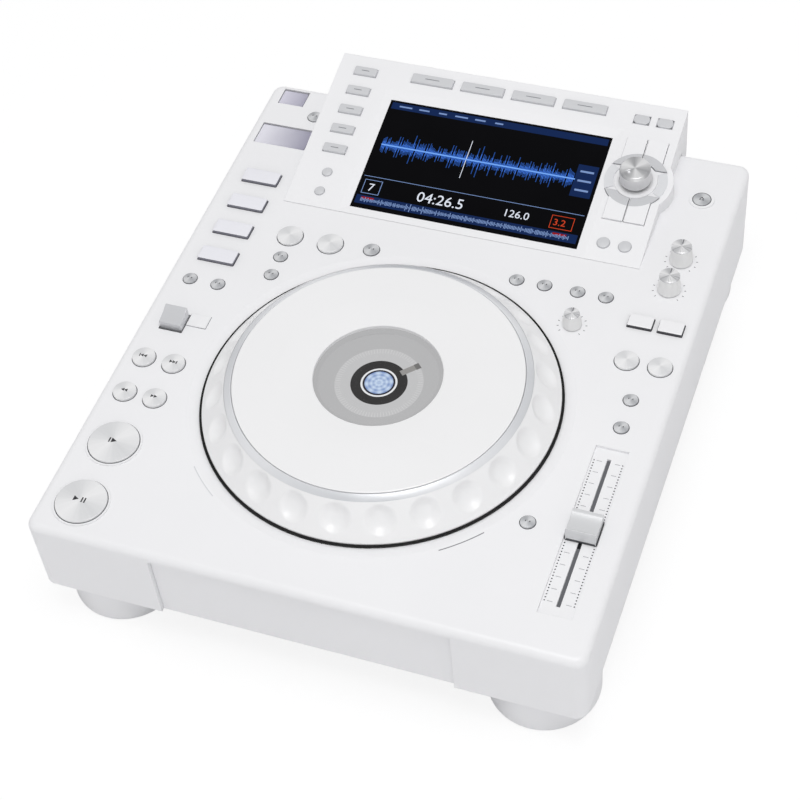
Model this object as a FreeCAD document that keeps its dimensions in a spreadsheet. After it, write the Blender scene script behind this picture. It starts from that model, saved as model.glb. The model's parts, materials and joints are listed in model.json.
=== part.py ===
"""Tabletop DJ disc player: shell, jog wheel, display unit, controls and slot-in drive.

The frame has +X to the right, +Y to the back and +Z up, with its origin on the floor
under the middle of the player. Places on the deck are given as x and as the distance
from the front face. Places on the display unit are given in its own tilted frame:
x, the distance up the slope from the crease, and the height above its surface.
"""
import FreeCAD, Part
import math
import os
import Sketcher

SIZES = [
    ("body_width", 320.0, "width of the body"),
    ("body_depth", 379.4, "depth of the body at the deck"),
    ("hood_reach", 13.1, "rear hood beyond the body's back face"),
    ("deck_height", 82.5, "deck above the floor"),
    ("front_edge_height", 28.8, "lower edge of the walls at the front, above the floor"),
    ("back_edge_height", 14.6, "lower edge of the walls at the back, above the floor"),
    ("deck_thickness", 3.0, "thickness of the deck"),
    ("wall_thickness", 3.0, "thickness of the side walls"),
    ("corner_radius", 7.0, "rounding of the upright corners"),
    ("rim_radius", 4.5, "rounding of the deck's rim"),
    ("button_gap", 0.3, "gap round buttons and caps"),
    ("slip_fit", 0.05, "running clearance of pins, shafts and bores"),
    ("seam_gap", 0.2, "gap at seams between fixed covers"),
    ("flange_width", 1.2, "retaining flange beyond a button's side"),
    ("flange_thickness", 1.0, "retaining flange of a button"),
    ("front_left", -85.6, "left seam of the front panel"),
    ("front_right", 87.2, "right seam of the front panel"),
    ("front_recess", 2.4, "front panel behind the front face"),
    ("front_lip", 6.0, "height of the deck's lip above the front panel"),
    ("front_lap", 6.0, "front panel's lap behind the walls"),
    ("panel_thickness", 3.0, "front panel thickness"),
    ("foot_radius", 31.8, "foot radius"),
    ("foot_x", 127.0, "feet from the middle"),
    ("foot_front_y", 33.7, "front feet from the front face"),
    ("foot_back_y", 343.0, "back feet from the front face"),
    ("foot_rounding", 2.0, "rounding of a foot's lower edge"),
    ("base_thickness", 2.0, "base plate thickness"),
    ("tub_half_width", 84.0, "drive tub, half width outside"),
    ("tub_front", 14.0, "drive tub's front wall from the front face"),
    ("tub_back", 200.0, "drive tub's back wall from the front face"),
    ("tub_bottom", 12.6, "drive tub's underside above the floor"),
    ("tub_rim", 31.0, "drive tub's rim above the floor"),
    ("disc_slot_half_width", 62.0, "disc slot, half width"),
    ("disc_slot_low", 21.2, "disc slot's lower edge above the floor"),
    ("disc_slot_height", 5.2, "disc slot height"),
    ("frame_half_width", 66.0, "drive frame, half width"),
    ("frame_front", 20.0, "drive frame's front end"),
    ("frame_back", 180.0, "drive frame's back end"),
    ("frame_sheet", 1.5, "drive frame's floor thickness"),
    ("rail_width", 3.5, "drive frame's side rail"),
    ("rail_top", 30.0, "top of the side rails above the floor"),
    ("guide_depth", 12.0, "disc guide bar, front to back"),
    ("guide_height", 3.0, "disc guide bar height"),
    ("spindle_y", 82.0, "spindle from the front face"),
    ("motor_radius", 13.0, "spindle motor radius"),
    ("motor_height", 1.6, "spindle motor above the frame's floor"),
    ("hub_radius", 11.0, "turntable radius"),
    ("hub_nose_radius", 7.3, "hub's nose radius"),
    ("spindle_radius", 1.5, "spindle shaft radius"),
    ("roller_y", 28.0, "loading roller from the front face"),
    ("roller_radius", 3.0, "loading roller radius"),
    ("roller_half_length", 60.0, "loading roller, half length"),
    ("roller_pin_radius", 1.5, "loading roller's pins"),
    ("sled_front", 98.0, "sled's front end at rest"),
    ("sled_length", 16.0, "sled, front to back"),
    ("sled_half_width", 26.0, "sled, half width"),
    ("sled_height", 4.0, "sled height"),
    ("sled_travel", 36.0, "sled travel"),
    ("rod_x", 22.0, "guide rods from the middle"),
    ("rod_radius", 1.5, "guide rod radius"),
    ("rod_height", 18.6, "guide rods above the floor"),
    ("ear_thickness", 4.0, "guide rod ears"),
    ("board_left", -84.0, "main board's left edge"),
    ("board_right", 150.0, "main board's right edge"),
    ("board_front", 205.0, "main board's front edge"),
    ("board_back", 366.0, "main board's back edge"),
    ("board_height", 40.0, "main board's underside above the floor"),
    ("board_thickness", 1.6, "main board thickness"),
    ("post_radius", 3.5, "posts under the board and the supply"),
    ("post_inset", 7.0, "posts from the edges that they carry"),
    ("supply_left", -150.0, "power supply's left side"),
    ("supply_right", -92.0, "power supply's right side"),
    ("supply_front", 215.0, "power supply's front side"),
    ("supply_back", 345.0, "power supply's back side"),
    ("supply_bottom", 30.0, "power supply's underside above the floor"),
    ("supply_height", 26.0, "power supply height"),
    ("rear_panel_thickness", 2.0, "rear panel thickness"),
    ("rear_panel_half_width", 152.5, "rear panel, half width"),
    ("rear_panel_low", 20.0, "rear panel's lower edge above the floor"),
    ("rear_panel_high", 72.0, "rear panel's upper edge above the floor"),
    ("rear_opening_half_width", 143.0, "opening in the back wall, half width"),
    ("rear_opening_low", 24.0, "opening in the back wall, lower edge"),
    ("rear_opening_high", 66.0, "opening in the back wall, upper edge"),
    ("jack_z", 50.0, "jacks' centre line above the floor"),
    ("phono_radius", 4.1, "phono jack radius"),
    ("phono_reach", 9.0, "phono jacks beyond the panel"),
    ("phono_bore", 1.7, "phono jack's bore radius"),
    ("phono_first_x", -58.0, "first phono jack"),
    ("phono_pitch", 14.0, "phono jack pitch"),
    ("control_x", -12.0, "control jack"),
    ("control_radius", 4.4, "control jack radius"),
    ("control_bore", 1.8, "control jack's bore radius"),
    ("network_x", 12.0, "network socket"),
    ("network_width", 15.6, "network socket outside width"),
    ("network_height", 13.2, "network socket outside height"),
    ("computer_x", 38.0, "computer socket"),
    ("computer_width", 12.0, "computer socket outside width"),
    ("computer_height", 11.0, "computer socket outside height"),
    ("socket_wall", 1.6, "wall of the square sockets"),
    ("socket_depth", 11.0, "depth of the square sockets"),
    ("jack_block_left", -66.0, "jack block's left side"),
    ("jack_block_right", 50.0, "jack block's right side"),
    ("jack_block_depth", 18.0, "jack block behind the panel"),
    ("inlet_x", -113.0, "mains inlet"),
    ("inlet_z", 43.0, "mains inlet's centre above the floor"),
    ("inlet_width", 27.6, "mains inlet body width"),
    ("inlet_height", 20.0, "mains inlet body height"),
    ("inlet_depth", 22.0, "mains inlet body depth behind the panel"),
    ("inlet_flange_width", 46.0, "mains inlet flange width"),
    ("inlet_flange_height", 26.0, "mains inlet flange height"),
    ("inlet_flange_thickness", 2.4, "mains inlet flange thickness"),
    ("inlet_mouth_width", 23.0, "mains inlet mouth width"),
    ("inlet_mouth_height", 15.4, "mains inlet mouth height"),
    ("inlet_mouth_depth", 17.0, "mains inlet mouth depth"),
    ("inlet_pin_recess", 5.0, "contact pins behind the flange's face"),
    ("inlet_pin_pitch", 7.0, "contact pin pitch"),
    ("switch_x", 100.0, "power switch"),
    ("switch_z", 43.0, "power switch's pivot above the floor"),
    ("switch_width", 16.0, "rocker width"),
    ("switch_half_height", 8.2, "rocker, half height"),
    ("switch_reach", 5.6, "rocker's ends in front of its pivot"),
    ("switch_dip", 0.9, "rocker's hollow at the middle"),
    ("switch_pivot_depth", 5.4, "pivot behind the rear panel's face"),
    ("switch_pin_radius", 1.2, "rocker's pins"),
    ("switch_cheek", 2.6, "cheeks that hold the rocker"),
    ("rear_screw_x", 148.5, "rear screws from the middle"),
    ("rear_screw_low", 30.0, "lower rear screws above the floor"),
    ("rear_screw_high", 60.0, "upper rear screws above the floor"),
    ("base_screw_front", 60.0, "front drive screws from the front face"),
    ("base_screw_back", 160.0, "back drive screws from the front face"),
    ("screw_radius", 1.4, "screw shank radius"),
    ("screw_head_radius", 2.8, "screw head radius"),
    ("screw_head_height", 1.6, "screw head height"),
    ("crease_y", 275.0, "front crease of the display unit from the front face"),
    ("display_tilt", 11.45, "slope of the display unit in degrees"),
    ("display_left", -113.5, "display unit's left side"),
    ("display_right", 115.8, "display unit's right side"),
    ("display_skin", 2.5, "display unit's shell"),
    ("hood_drop", 14.0, "rear hood below the deck"),
    ("opening_left", -104.5, "deck opening under the display unit, left"),
    ("opening_right", 110.5, "deck opening under the display unit, right"),
    ("opening_setback", 1.2, "deck opening behind the crease"),
    ("opening_back", 372.0, "deck opening's back edge from the front face"),
    ("screen_left", -71.2, "screen's left edge"),
    ("screen_right", 75.3, "screen's right edge"),
    ("screen_low", 6.0, "screen's lower edge up the slope"),
    ("screen_high", 90.4, "screen's upper edge up the slope"),
    ("bevel_left", -77.0, "screen frame's left edge"),
    ("bevel_right", 81.0, "screen frame's right edge"),
    ("bevel_low", 1.5, "screen frame's lower edge up the slope"),
    ("bevel_high", 97.5, "screen frame's upper edge up the slope"),
    ("bevel_depth", 0.8, "screen frame's inner edge below the surface"),
    ("glass_setback", 0.1, "glass below the frame's inner edge"),
    ("module_margin", 3.0, "screen module beyond the glass"),
    ("module_thickness", 3.0, "screen module behind the shell"),
    ("selector_x", 97.5, "selector"),
    ("selector_up", 61.6, "selector up the slope"),
    ("selector_radius", 9.6, "selector knob radius"),
    ("selector_height", 13.6, "selector knob's top above the surface"),
    ("selector_rise", 1.9, "selector knob's underside above the surface"),
    ("selector_dimple_radius", 2.6, "finger dimple radius"),
    ("selector_dimple_offset", 5.4, "finger dimple from the knob's axis"),
    ("selector_crown", 1.4, "edge round the knob's top"),
    ("shaft_radius", 3.0, "selector and knob shafts"),
    ("selector_sleeve", 5.0, "selector's guide sleeve length"),
    ("selector_sleeve_radius", 5.5, "selector's guide sleeve radius"),
    ("selector_travel", 1.2, "selector push travel"),
    ("shaft_tail", 3.0, "selector shaft below its collar"),
    ("bulge_radius", 23.0, "bulge of the right side wall"),
    ("ring_inner", 13.7, "tab ring's inner radius"),
    ("ring_outer", 19.5, "tab ring's outer radius"),
    ("ring_start", 9.6, "tab ring's ends from the selector's middle"),
    ("tab_reach", 30.9, "tabs' outer ends from the selector's middle"),
    ("tab_side", 12.9, "tabs' outer sides from the selector's middle"),
    ("tab_split", 0.5, "half of the split between two tabs"),
    ("tab_shoulder", 14.6, "where the tabs' sides meet the ring"),
    ("tab_height", 1.0, "tabs above the surface"),
    ("collar_low", 10.4, "raised collar's inner radius"),
    ("collar_height", 0.5, "raised collar's height"),
    ("source_x", -94.4, "source buttons"),
    ("source_first", 45.1, "first source button up the slope"),
    ("source_pitch", 15.6, "source button pitch"),
    ("source_width", 15.2, "source button width"),
    ("source_length", 6.2, "source button length"),
    ("source_height", 1.8, "source buttons above the surface"),
    ("menu_first", -49.0, "first menu button"),
    ("menu_pitch", 33.8, "menu button pitch"),
    ("menu_up", 109.0, "menu buttons up the slope"),
    ("menu_width", 28.0, "menu button width"),
    ("menu_length", 6.8, "menu button length"),
    ("menu_height", 1.8, "menu buttons above the surface"),
    ("oblong_first", 89.6, "first oblong button"),
    ("oblong_pitch", 14.8, "oblong button pitch"),
    ("oblong_up", 107.0, "oblong buttons up the slope"),
    ("oblong_width", 9.9, "oblong button width"),
    ("oblong_length", 6.6, "oblong button length"),
    ("tag_first", 90.0, "first of the round buttons under the selector"),
    ("tag_pitch", 13.3, "their pitch"),
    ("tag_up", 13.5, "the same buttons up the slope"),
    ("tag_radius", 3.8, "their radius"),
    ("time_x", -93.4, "two round buttons under the source buttons"),
    ("time_first", 12.2, "the lower one up the slope"),
    ("time_pitch", 14.7, "their pitch"),
    ("time_radius", 3.1, "their radius"),
    ("display_button_height", 1.2, "round and oblong buttons above the surface"),
    ("jog_y", 140.0, "jog wheel's axis from the front face"),
    ("well_radius", 104.6, "deck opening round the wheel"),
    ("dish_radius", 111.5, "outer radius of the dish in the deck"),
    ("dish_depth", 1.5, "depth of the dish at the opening"),
    ("dial_radius", 103.0, "dial radius"),
    ("dial_skirt", 8.0, "dial's skirt below the deck"),
    ("dial_edge", 0.9, "dial's outer edge above the deck"),
    ("dial_top_radius", 88.0, "dial's upper radius"),
    ("dial_top", 17.5, "dial's upper edge above the deck"),
    ("dial_wall", 3.5, "dial's wall along its slope's normal"),
    ("dial_skirt_wall", 3.0, "dial's skirt wall"),
    ("web_top", 15.5, "dial's web above the deck"),
    ("web_thickness", 3.0, "dial's web thickness"),
    ("dimple_count", 24, "finger dimples"),
    ("dimple_phase", -85.0, "first dimple's angle from +X in degrees"),
    ("dimple_circle", 94.5, "dimple circle radius"),
    ("dimple_radius", 7.8, "dimple radius"),
    ("dimple_depth", 1.8, "dimple depth"),
    ("ring_step", 0.2, "ring inside the dial's upper edge"),
    ("ring_width", 4.4, "silver ring width"),
    ("ring_rise", 2.0, "silver ring's inner edge above its outer edge"),
    ("plate_gap", 0.2, "plate inside the silver ring"),
    ("plate_top", 19.8, "plate's top above the deck"),
    ("plate_rim", 3.2, "plate's rim width"),
    ("flange_top", 17.3, "jog shaft's flange above the deck"),
    ("window_radius", 36.9, "clear window radius"),
    ("window_thickness", 1.5, "clear window thickness"),
    ("window_gap", 0.1, "window inside the plate"),
    ("window_lip", 2.4, "ledge under the window"),
    ("tube_bore", 38.0, "jog shaft's bore radius"),
    ("tube_wall", 3.0, "jog shaft's wall"),
    ("shaft_flange_radius", 62.0, "jog shaft's flange radius"),
    ("encoder_radius", 55.0, "encoder disc radius"),
    ("encoder_thickness", 1.0, "encoder disc thickness"),
    ("encoder_rise", 1.0, "encoder disc above the shaft's foot"),
    ("bearing_radius", 109.5, "bearing plate radius"),
    ("bearing_drop", 10.5, "bearing plate's top below the deck"),
    ("bearing_thickness", 2.5, "bearing plate thickness"),
    ("bearing_rim", 2.5, "bearing plate's rim"),
    ("bearing_land", 1.0, "land under the shaft"),
    ("boss_wall", 4.0, "centre boss wall"),
    ("boss_top", 11.0, "centre boss above the deck"),
    ("centre_display_radius", 37.0, "centre display radius"),
    ("centre_display_thickness", 1.6, "centre display thickness"),
    ("slider_x", 136.4, "tempo slider"),
    ("slider_middle", 82.3, "tempo slider's middle from the front face"),
    ("slider_travel", 96.0, "tempo slider's whole travel"),
    ("slider_recess_width", 18.9, "recess width"),
    ("slider_recess_length", 114.0, "recess length"),
    ("slider_recess_depth", 1.5, "recess depth"),
    ("slider_slot", 2.2, "slot width"),
    ("slider_stem_width", 1.4, "stem width"),
    ("slider_stem_length", 4.0, "stem length"),
    ("slider_cap_width", 17.1, "cap width"),
    ("slider_cap_length", 16.4, "cap length"),
    ("slider_cap_rise", 0.4, "cap above the recess floor"),
    ("slider_cap_height", 8.4, "cap height"),
    ("slider_hollow_radius", 13.0, "cap's hollow radius"),
    ("slider_hollow_depth", 2.2, "cap's hollow depth"),
    ("slider_unit_width", 18.0, "slider body width"),
    ("slider_unit_length", 122.0, "slider body length"),
    ("slider_unit_height", 16.0, "slider body height"),
    ("slider_channel_width", 9.0, "slider body's channel width"),
    ("carriage_length", 10.0, "carriage length"),
    ("carriage_height", 4.0, "carriage height"),
    ("carriage_drop", 5.0, "carriage's top below the deck's underside"),
    ("brake_x", 137.9, "upper knob"),
    ("brake_y", 288.0, "upper knob from the front face"),
    ("start_x", 136.8, "lower knob"),
    ("start_y", 263.3, "lower knob from the front face"),
    ("knob_base_radius", 6.9, "knob radius at its base"),
    ("knob_top_radius", 6.1, "knob radius at its top"),
    ("knob_height", 12.8, "knob height above the deck"),
    ("knob_rise", 0.4, "knob's underside above the deck"),
    ("pointer_width", 0.9, "pointer groove width"),
    ("pointer_depth", 0.5, "pointer groove depth"),
    ("feel_x", 89.5, "small knob"),
    ("feel_y", 221.8, "small knob from the front face"),
    ("feel_base_radius", 5.8, "small knob radius at its base"),
    ("feel_top_radius", 4.6, "small knob radius at its top"),
    ("feel_height", 10.4, "small knob height"),
    ("feel_shaft_radius", 2.4, "small knob's shaft"),
    ("lever_x", -139.0, "direction lever"),
    ("lever_y", 162.0, "direction lever from the front face"),
    ("lever_width", 14.0, "lever cap width"),
    ("lever_half_length", 6.0, "lever cap, half length"),
    ("lever_front_height", 5.0, "lever cap's front edge above the deck"),
    ("lever_back_height", 8.2, "lever cap's back edge above the deck"),
    ("lever_taper", 0.4, "lever cap's draft"),
    ("lever_slack", 0.9, "hole beyond the lever's ends"),
    ("lever_pivot_drop", 4.6, "lever's pivot below the deck's top"),
    ("lever_pin_radius", 1.5, "lever's pins"),
    ("lever_pin_length", 3.0, "lever's pins beyond its sides"),
    ("lever_boss", 3.0, "width of the bosses that hold the pins"),
    ("tile_x", -125.1, "raised tile beside the lever"),
    ("tile_y", 166.2, "raised tile from the front face"),
    ("tile_width", 12.4, "raised tile width"),
    ("tile_length", 9.6, "raised tile length"),
    ("tile_height", 0.5, "raised tile height"),
    ("usb_x", -142.7, "stick cover"),
    ("usb_y", 367.1, "stick cover's middle from the front face"),
    ("usb_width", 17.1, "stick cover width"),
    ("usb_length", 12.2, "stick cover length"),
    ("card_x", -135.5, "card door"),
    ("card_y", 330.5, "card door's middle from the front face"),
    ("card_width", 34.8, "card door width"),
    ("card_length", 17.0, "card door length"),
    ("flap_thickness", 1.3, "cover and door thickness"),
    ("flap_pin_radius", 0.7, "cover's and door's pins"),
    ("flap_pin_length", 1.0, "pins beyond the sides"),
    ("port_depth", 18.0, "port block height"),
    ("port_margin", 2.6, "port block beyond the covers' pockets"),
    ("usb_port_width", 12.6, "stick socket width"),
    ("usb_port_length", 5.4, "stick socket, front to back"),
    ("usb_port_depth", 14.0, "stick socket depth"),
    ("usb_tongue_drop", 6.5, "contact tongue below the mouth"),
    ("usb_tongue", 1.9, "contact tongue thickness"),
    ("card_port_width", 25.0, "card slot width"),
    ("card_port_length", 3.0, "card slot, front to back"),
    ("card_port_depth", 15.0, "card slot depth"),
    ("big_radius", 14.8, "play and cue button radius"),
    ("big_ring_radius", 16.5, "raised ring round play and cue"),
    ("big_ring_height", 0.5, "height of that ring"),
    ("big_height", 2.6, "play and cue buttons above the deck"),
    ("cue_x", -135.2, "cue button"),
    ("cue_y", 67.0, "cue button from the front face"),
    ("play_x", -135.1, "play button"),
    ("play_y", 23.7, "play button from the front face"),
    ("pair_left", -145.1, "left buttons of the track and search pairs"),
    ("pair_right", -126.1, "right buttons of the track and search pairs"),
    ("track_y", 130.8, "track buttons from the front face"),
    ("search_y", 103.5, "search buttons from the front face"),
    ("search_radius", 6.9, "track and search button radius"),
    ("search_height", 2.4, "track and search buttons above the deck"),
    ("pad_x", -134.6, "pads"),
    ("pad_first", 219.2, "first pad from the front face"),
    ("pad_pitch", 23.8, "pad pitch"),
    ("pad_width", 23.5, "pad width"),
    ("pad_length", 10.7, "pad length"),
    ("pad_height", 2.5, "pads above the deck"),
    ("loop_radius", 8.0, "loop button radius"),
    ("loop_height", 2.2, "loop buttons above the deck"),
    ("loop_in_x", -97.8, "loop-in button"),
    ("loop_out_x", -71.2, "loop-out button"),
    ("loop_y", 246.7, "loop buttons from the front face"),
    ("small_radius", 4.2, "small round button radius"),
    ("small_height", 1.4, "small round buttons above the deck"),
    ("edit_left", -144.2, "left delete button"),
    ("edit_right", -125.8, "right memory button"),
    ("edit_y", 197.3, "the same two from the front face"),
    ("half_x", -97.2, "two small buttons under loop-in"),
    ("half_y", 213.4, "the nearer one from the front face"),
    ("half_pitch", 15.5, "their pitch"),
    ("reloop_x", -45.0, "reloop button"),
    ("reloop_y", 248.7, "reloop button from the front face"),
    ("reloop_radius", 4.9, "reloop button radius"),
    ("beat_inner", 47.9, "first beat button"),
    ("beat_pair", 17.3, "pitch inside a beat pair"),
    ("beat_jump", 37.6, "pitch between the beat pairs"),
    ("beat_y", 247.7, "beat buttons from the front face"),
    ("vinyl_x", 106.0, "wheel mode button"),
    ("vinyl_y", 78.5, "wheel mode button from the front face"),
    ("reset_x", 137.0, "tempo reset and key buttons"),
    ("reset_first", 154.9, "the nearer one from the front face"),
    ("reset_pitch", 20.6, "their pitch"),
    ("sync_x", 127.2, "sync button"),
    ("master_x", 146.8, "master button"),
    ("sync_y", 203.1, "sync and master buttons from the front face"),
    ("sync_radius", 7.0, "sync and master button radius"),
    ("range_x", 127.6, "tempo range button"),
    ("tempo_x", 145.6, "master tempo button"),
    ("range_y", 233.5, "both from the front face"),
    ("range_width", 14.4, "their width"),
    ("range_length", 9.4, "their length"),
    ("range_height", 2.2, "they stand above the deck"),
    ("eject_x", 137.6, "eject button"),
    ("eject_y", 341.6, "eject button from the front face"),
    ("eject_radius", 5.4, "eject button radius"),
    ("eject_ring_radius", 7.8, "raised ring round eject"),
    ("usb_stop_x", -122.2, "stick stop button"),
    ("usb_stop_y", 353.3, "stick stop button from the front face"),
    ("usb_stop_radius", 4.6, "stick stop button radius"),
    ("crown", 0.5, "rise of a round button's middle"),
    ("cap_rounding", 0.6, "rounding of caps and buttons"),
    ("key_corner", 0.8, "rounding of a square cap's upright edges"),
]

NEAR = 0.01
OVERCUT = 1.0

doc = FreeCAD.newDocument("DiscPlayer")
sheet = doc.addObject("Spreadsheet::Sheet", "Sizes")
nodes = []


class Amount:
    """A number with the spreadsheet expression that gives it."""

    def __init__(self, value, text):
        self.value = value
        self.text = text

    def __add__(self, other):
        other = amount(other)
        return Amount(self.value + other.value, f"({self.text} + {other.text})")

    def __sub__(self, other):
        other = amount(other)
        return Amount(self.value - other.value, f"({self.text} - {other.text})")

    def __mul__(self, other):
        other = amount(other)
        return Amount(self.value * other.value, f"({self.text} * {other.text})")

    def __truediv__(self, other):
        other = amount(other)
        return Amount(self.value / other.value, f"({self.text} / {other.text})")

    def __rsub__(self, other):
        return amount(other) - self

    def __neg__(self):
        return Amount(-self.value, f"(0 - {self.text})")

    __radd__ = __add__
    __rmul__ = __mul__


def amount(value):
    """Gives a plain number the form of an Amount."""
    if isinstance(value, Amount):
        return value
    return Amount(float(value), repr(float(value)))


def sine(angle):
    return Amount(math.sin(math.radians(angle.value)), f"sin({angle.text})")


def cosine(angle):
    return Amount(math.cos(math.radians(angle.value)), f"cos({angle.text})")


def tangent(angle):
    return Amount(math.tan(math.radians(angle.value)), f"tan({angle.text})")


def root(area):
    return Amount(math.sqrt(area.value), f"sqrt({area.text})")


class Named:
    """Holds the named sizes, one attribute for each."""


size = Named()
for row, (name, value, meaning) in enumerate(SIZES, start=1):
    sheet.set(f"A{row}", name)
    sheet.set(f"B{row}", str(value))
    sheet.set(f"C{row}", meaning)
    sheet.setAlias(f"B{row}", name)
    setattr(size, name, Amount(float(value), f"Sizes.{name}"))
doc.recompute()


def back(distance):
    """Turns a distance from the front face into y."""
    return distance - (size.body_depth + size.hood_reach) / 2


def below_deck(distance):
    return size.deck_height - distance


def lower_edge(distance):
    """Height of the walls' sloping lower edge at a distance from the front face."""
    drop = size.front_edge_height - size.back_edge_height
    return size.front_edge_height - drop * distance / size.body_depth


# Binding, placing and primitives


def bind(target, prop, value):
    target.setExpression(prop, amount(value).text)


def turn(target, axis, angle):
    """Turns an object about an axis through its own base point."""
    angle = amount(angle)
    target.Placement.Rotation = FreeCAD.Rotation(FreeCAD.Vector(*axis), angle.value)
    bind(target, "Placement.Rotation.Angle", angle)


def place(target, x=0, y=0, z=0):
    bind(target, "Placement.Base.x", x)
    bind(target, "Placement.Base.y", y)
    bind(target, "Placement.Base.z", z)
    return target


def on_display(target, x=0, up=0, rise=0):
    """Places an object in the display unit's tilted frame."""
    tilt = size.display_tilt
    turn(target, (1, 0, 0), tilt)
    y = back(size.crease_y) + up * cosine(tilt) - rise * sine(tilt)
    z = size.deck_height + up * sine(tilt) + rise * cosine(tilt)
    return place(target, x, y, z)


def tilted(*pieces):
    """Takes pieces laid out in the display unit's own frame to their place."""
    return on_display(group(*pieces))


def box(x0, x1, y0, y1, z0, z1):
    target = doc.addObject("Part::Box", "box")
    for prop, low, high in (("Length", x0, x1), ("Width", y0, y1), ("Height", z0, z1)):
        bind(target, prop, amount(high) - low)
    return place(target, x0, y0, z0)


def block(x, y, width, length, z0, z1):
    """Box centred on x and y."""
    half_width = amount(width) / 2
    half_length = amount(length) / 2
    return box(x - half_width, x + half_width, y - half_length, y + half_length, z0, z1)


def rod(x, y, z0, z1, radius):
    target = doc.addObject("Part::Cylinder", "rod")
    bind(target, "Radius", radius)
    bind(target, "Height", amount(z1) - z0)
    return place(target, x, y, z0)


def rod_along_x(x0, x1, y, z, radius):
    target = doc.addObject("Part::Cylinder", "rod")
    bind(target, "Radius", radius)
    bind(target, "Height", amount(x1) - x0)
    turn(target, (0, 1, 0), 90)
    return place(target, x0, y, z)


def rod_along_y(y0, y1, x, z, radius):
    target = doc.addObject("Part::Cylinder", "rod")
    bind(target, "Radius", radius)
    bind(target, "Height", amount(y1) - y0)
    turn(target, (-1, 0, 0), 90)
    return place(target, x, y0, z)


def cone(x, y, z0, z1, radius0, radius1):
    target = doc.addObject("Part::Cone", "cone")
    bind(target, "Radius1", radius0)
    bind(target, "Radius2", radius1)
    bind(target, "Height", amount(z1) - z0)
    return place(target, x, y, z0)


def join(*pieces):
    target = doc.addObject("Part::MultiFuse", "join")
    target.Shapes = list(pieces)
    return target


def group(*pieces):
    target = doc.addObject("Part::Compound", "group")
    target.Links = list(pieces)
    return target


def cut(base, *tools):
    target = doc.addObject("Part::Cut", "cut")
    target.Base = base
    target.Tool = tools[0] if len(tools) == 1 else join(*tools)
    return target


def shared(first, second):
    target = doc.addObject("Part::Common", "shared")
    target.Base = first
    target.Tool = second
    return target


def node(target, label):
    """Keeps an object as a sub-part under its own name."""
    target.Label = label
    nodes.append((label, target))
    return target


# Bodies made from sketches


def origin_item(body, role):
    return next(item for item in body.Origin.OriginFeatures if item.Role == role)


def outline(body, plane, points):
    """Sketch of a closed outline of straight lines, each corner bound to its place."""
    sketch = body.newObject("Sketcher::SketchObject", "outline")
    sketch.AttachmentSupport = [(origin_item(body, plane), "")]
    sketch.MapMode = "FlatFace"
    corners = [(amount(across), amount(along)) for across, along in points]
    count = len(corners)
    vectors = [FreeCAD.Vector(across.value, along.value, 0) for across, along in corners]
    for index in range(count):
        line = Part.LineSegment(vectors[index], vectors[(index + 1) % count])
        sketch.addGeometry(line, False)
    for index in range(count):
        following = (index + 1) % count
        sketch.addConstraint(Sketcher.Constraint("Coincident", index, 2, following, 1))
    for index, corner in enumerate(corners):
        for kind, axis, value in (("DistanceX", -2, corner[0]), ("DistanceY", -1, corner[1])):
            if value.text == "0.0":
                sketch.addConstraint(Sketcher.Constraint("PointOnObject", index, 1, axis))
                continue
            rule = Sketcher.Constraint(kind, -1, 1, index, 1, value.value)
            number = sketch.addConstraint(rule)
            bind(sketch, f"Constraints[{number}]", value)
    return sketch


def new_body():
    return doc.addObject("PartDesign::Body", "body")


def pad(body, plane, points, length):
    feature = body.newObject("PartDesign::Pad", "pad")
    feature.Profile = outline(body, plane, points)
    bind(feature, "Length", length)
    return feature


def turned(points):
    """Body turned about its own Z axis from an outline of radii and heights."""
    body = new_body()
    sketch = outline(body, "XZ_Plane", points)
    feature = body.newObject("PartDesign::Revolution", "turned")
    feature.Profile = sketch
    feature.ReferenceAxis = (origin_item(body, "Z_Axis"), [""])
    feature.Angle = 360
    return body


def soften(body, radius, wanted):
    """Rounds the edges that the test picks."""
    doc.recompute()
    base = body.Tip
    edges = enumerate(base.Shape.Edges, start=1)
    names = [f"Edge{number}" for number, edge in edges if wanted(edge)]
    if not names:
        raise ValueError(f"no edge to round on {body.Name}")
    feature = body.newObject("PartDesign::Fillet", "rounding")
    feature.Base = (base, names)
    bind(feature, "Radius", radius)
    return body


def circle_at(radius, height):
    """Test for a circular edge of a turned body."""
    radius = amount(radius).value
    height = amount(height).value

    def test(edge):
        curve = edge.Curve
        if not hasattr(curve, "Radius"):
            return False
        return abs(curve.Radius - radius) < NEAR and abs(curve.Center.z - height) < NEAR

    return test


def upright(edge):
    low = edge.Vertexes[0].Point
    high = edge.Vertexes[-1].Point
    return abs(low.x - high.x) < NEAR and abs(low.y - high.y) < NEAR


def level_at(height):
    """Test for edges that lie at one height."""
    height = amount(height).value

    def test(edge):
        return all(abs(vertex.Point.z - height) < NEAR for vertex in edge.Vertexes)

    return test


def side_outline(points, x0, x1):
    """Body with a side view outline of y and z, from one x to another."""
    body = new_body()
    pad(body, "YZ_Plane", points, amount(x1) - x0)
    return place(body, x0)


def rectangle(width, length):
    half_width = amount(width) / 2
    half_length = amount(length) / 2
    corners = ((-1, -1), (1, -1), (1, 1), (-1, 1))
    return [(half_width * across, half_length * along) for across, along in corners]


# Buttons: a cap that stands through its hole on a retaining flange under the cover


def round_button(radius, height, cover, dome=None):
    """Round button from its flange's underside up."""
    base = size.flange_thickness
    side = radius + size.flange_width
    top = base + cover + height
    rise = size.crown if dome is None else dome
    body = turned([
        (0, 0),
        (side, 0),
        (side, base),
        (radius, base),
        (radius, top - rise),
        (radius * 0.6, top - rise * 0.36),
        (0, top),
    ])
    return soften(body, size.cap_rounding, circle_at(radius, top - rise))


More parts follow.
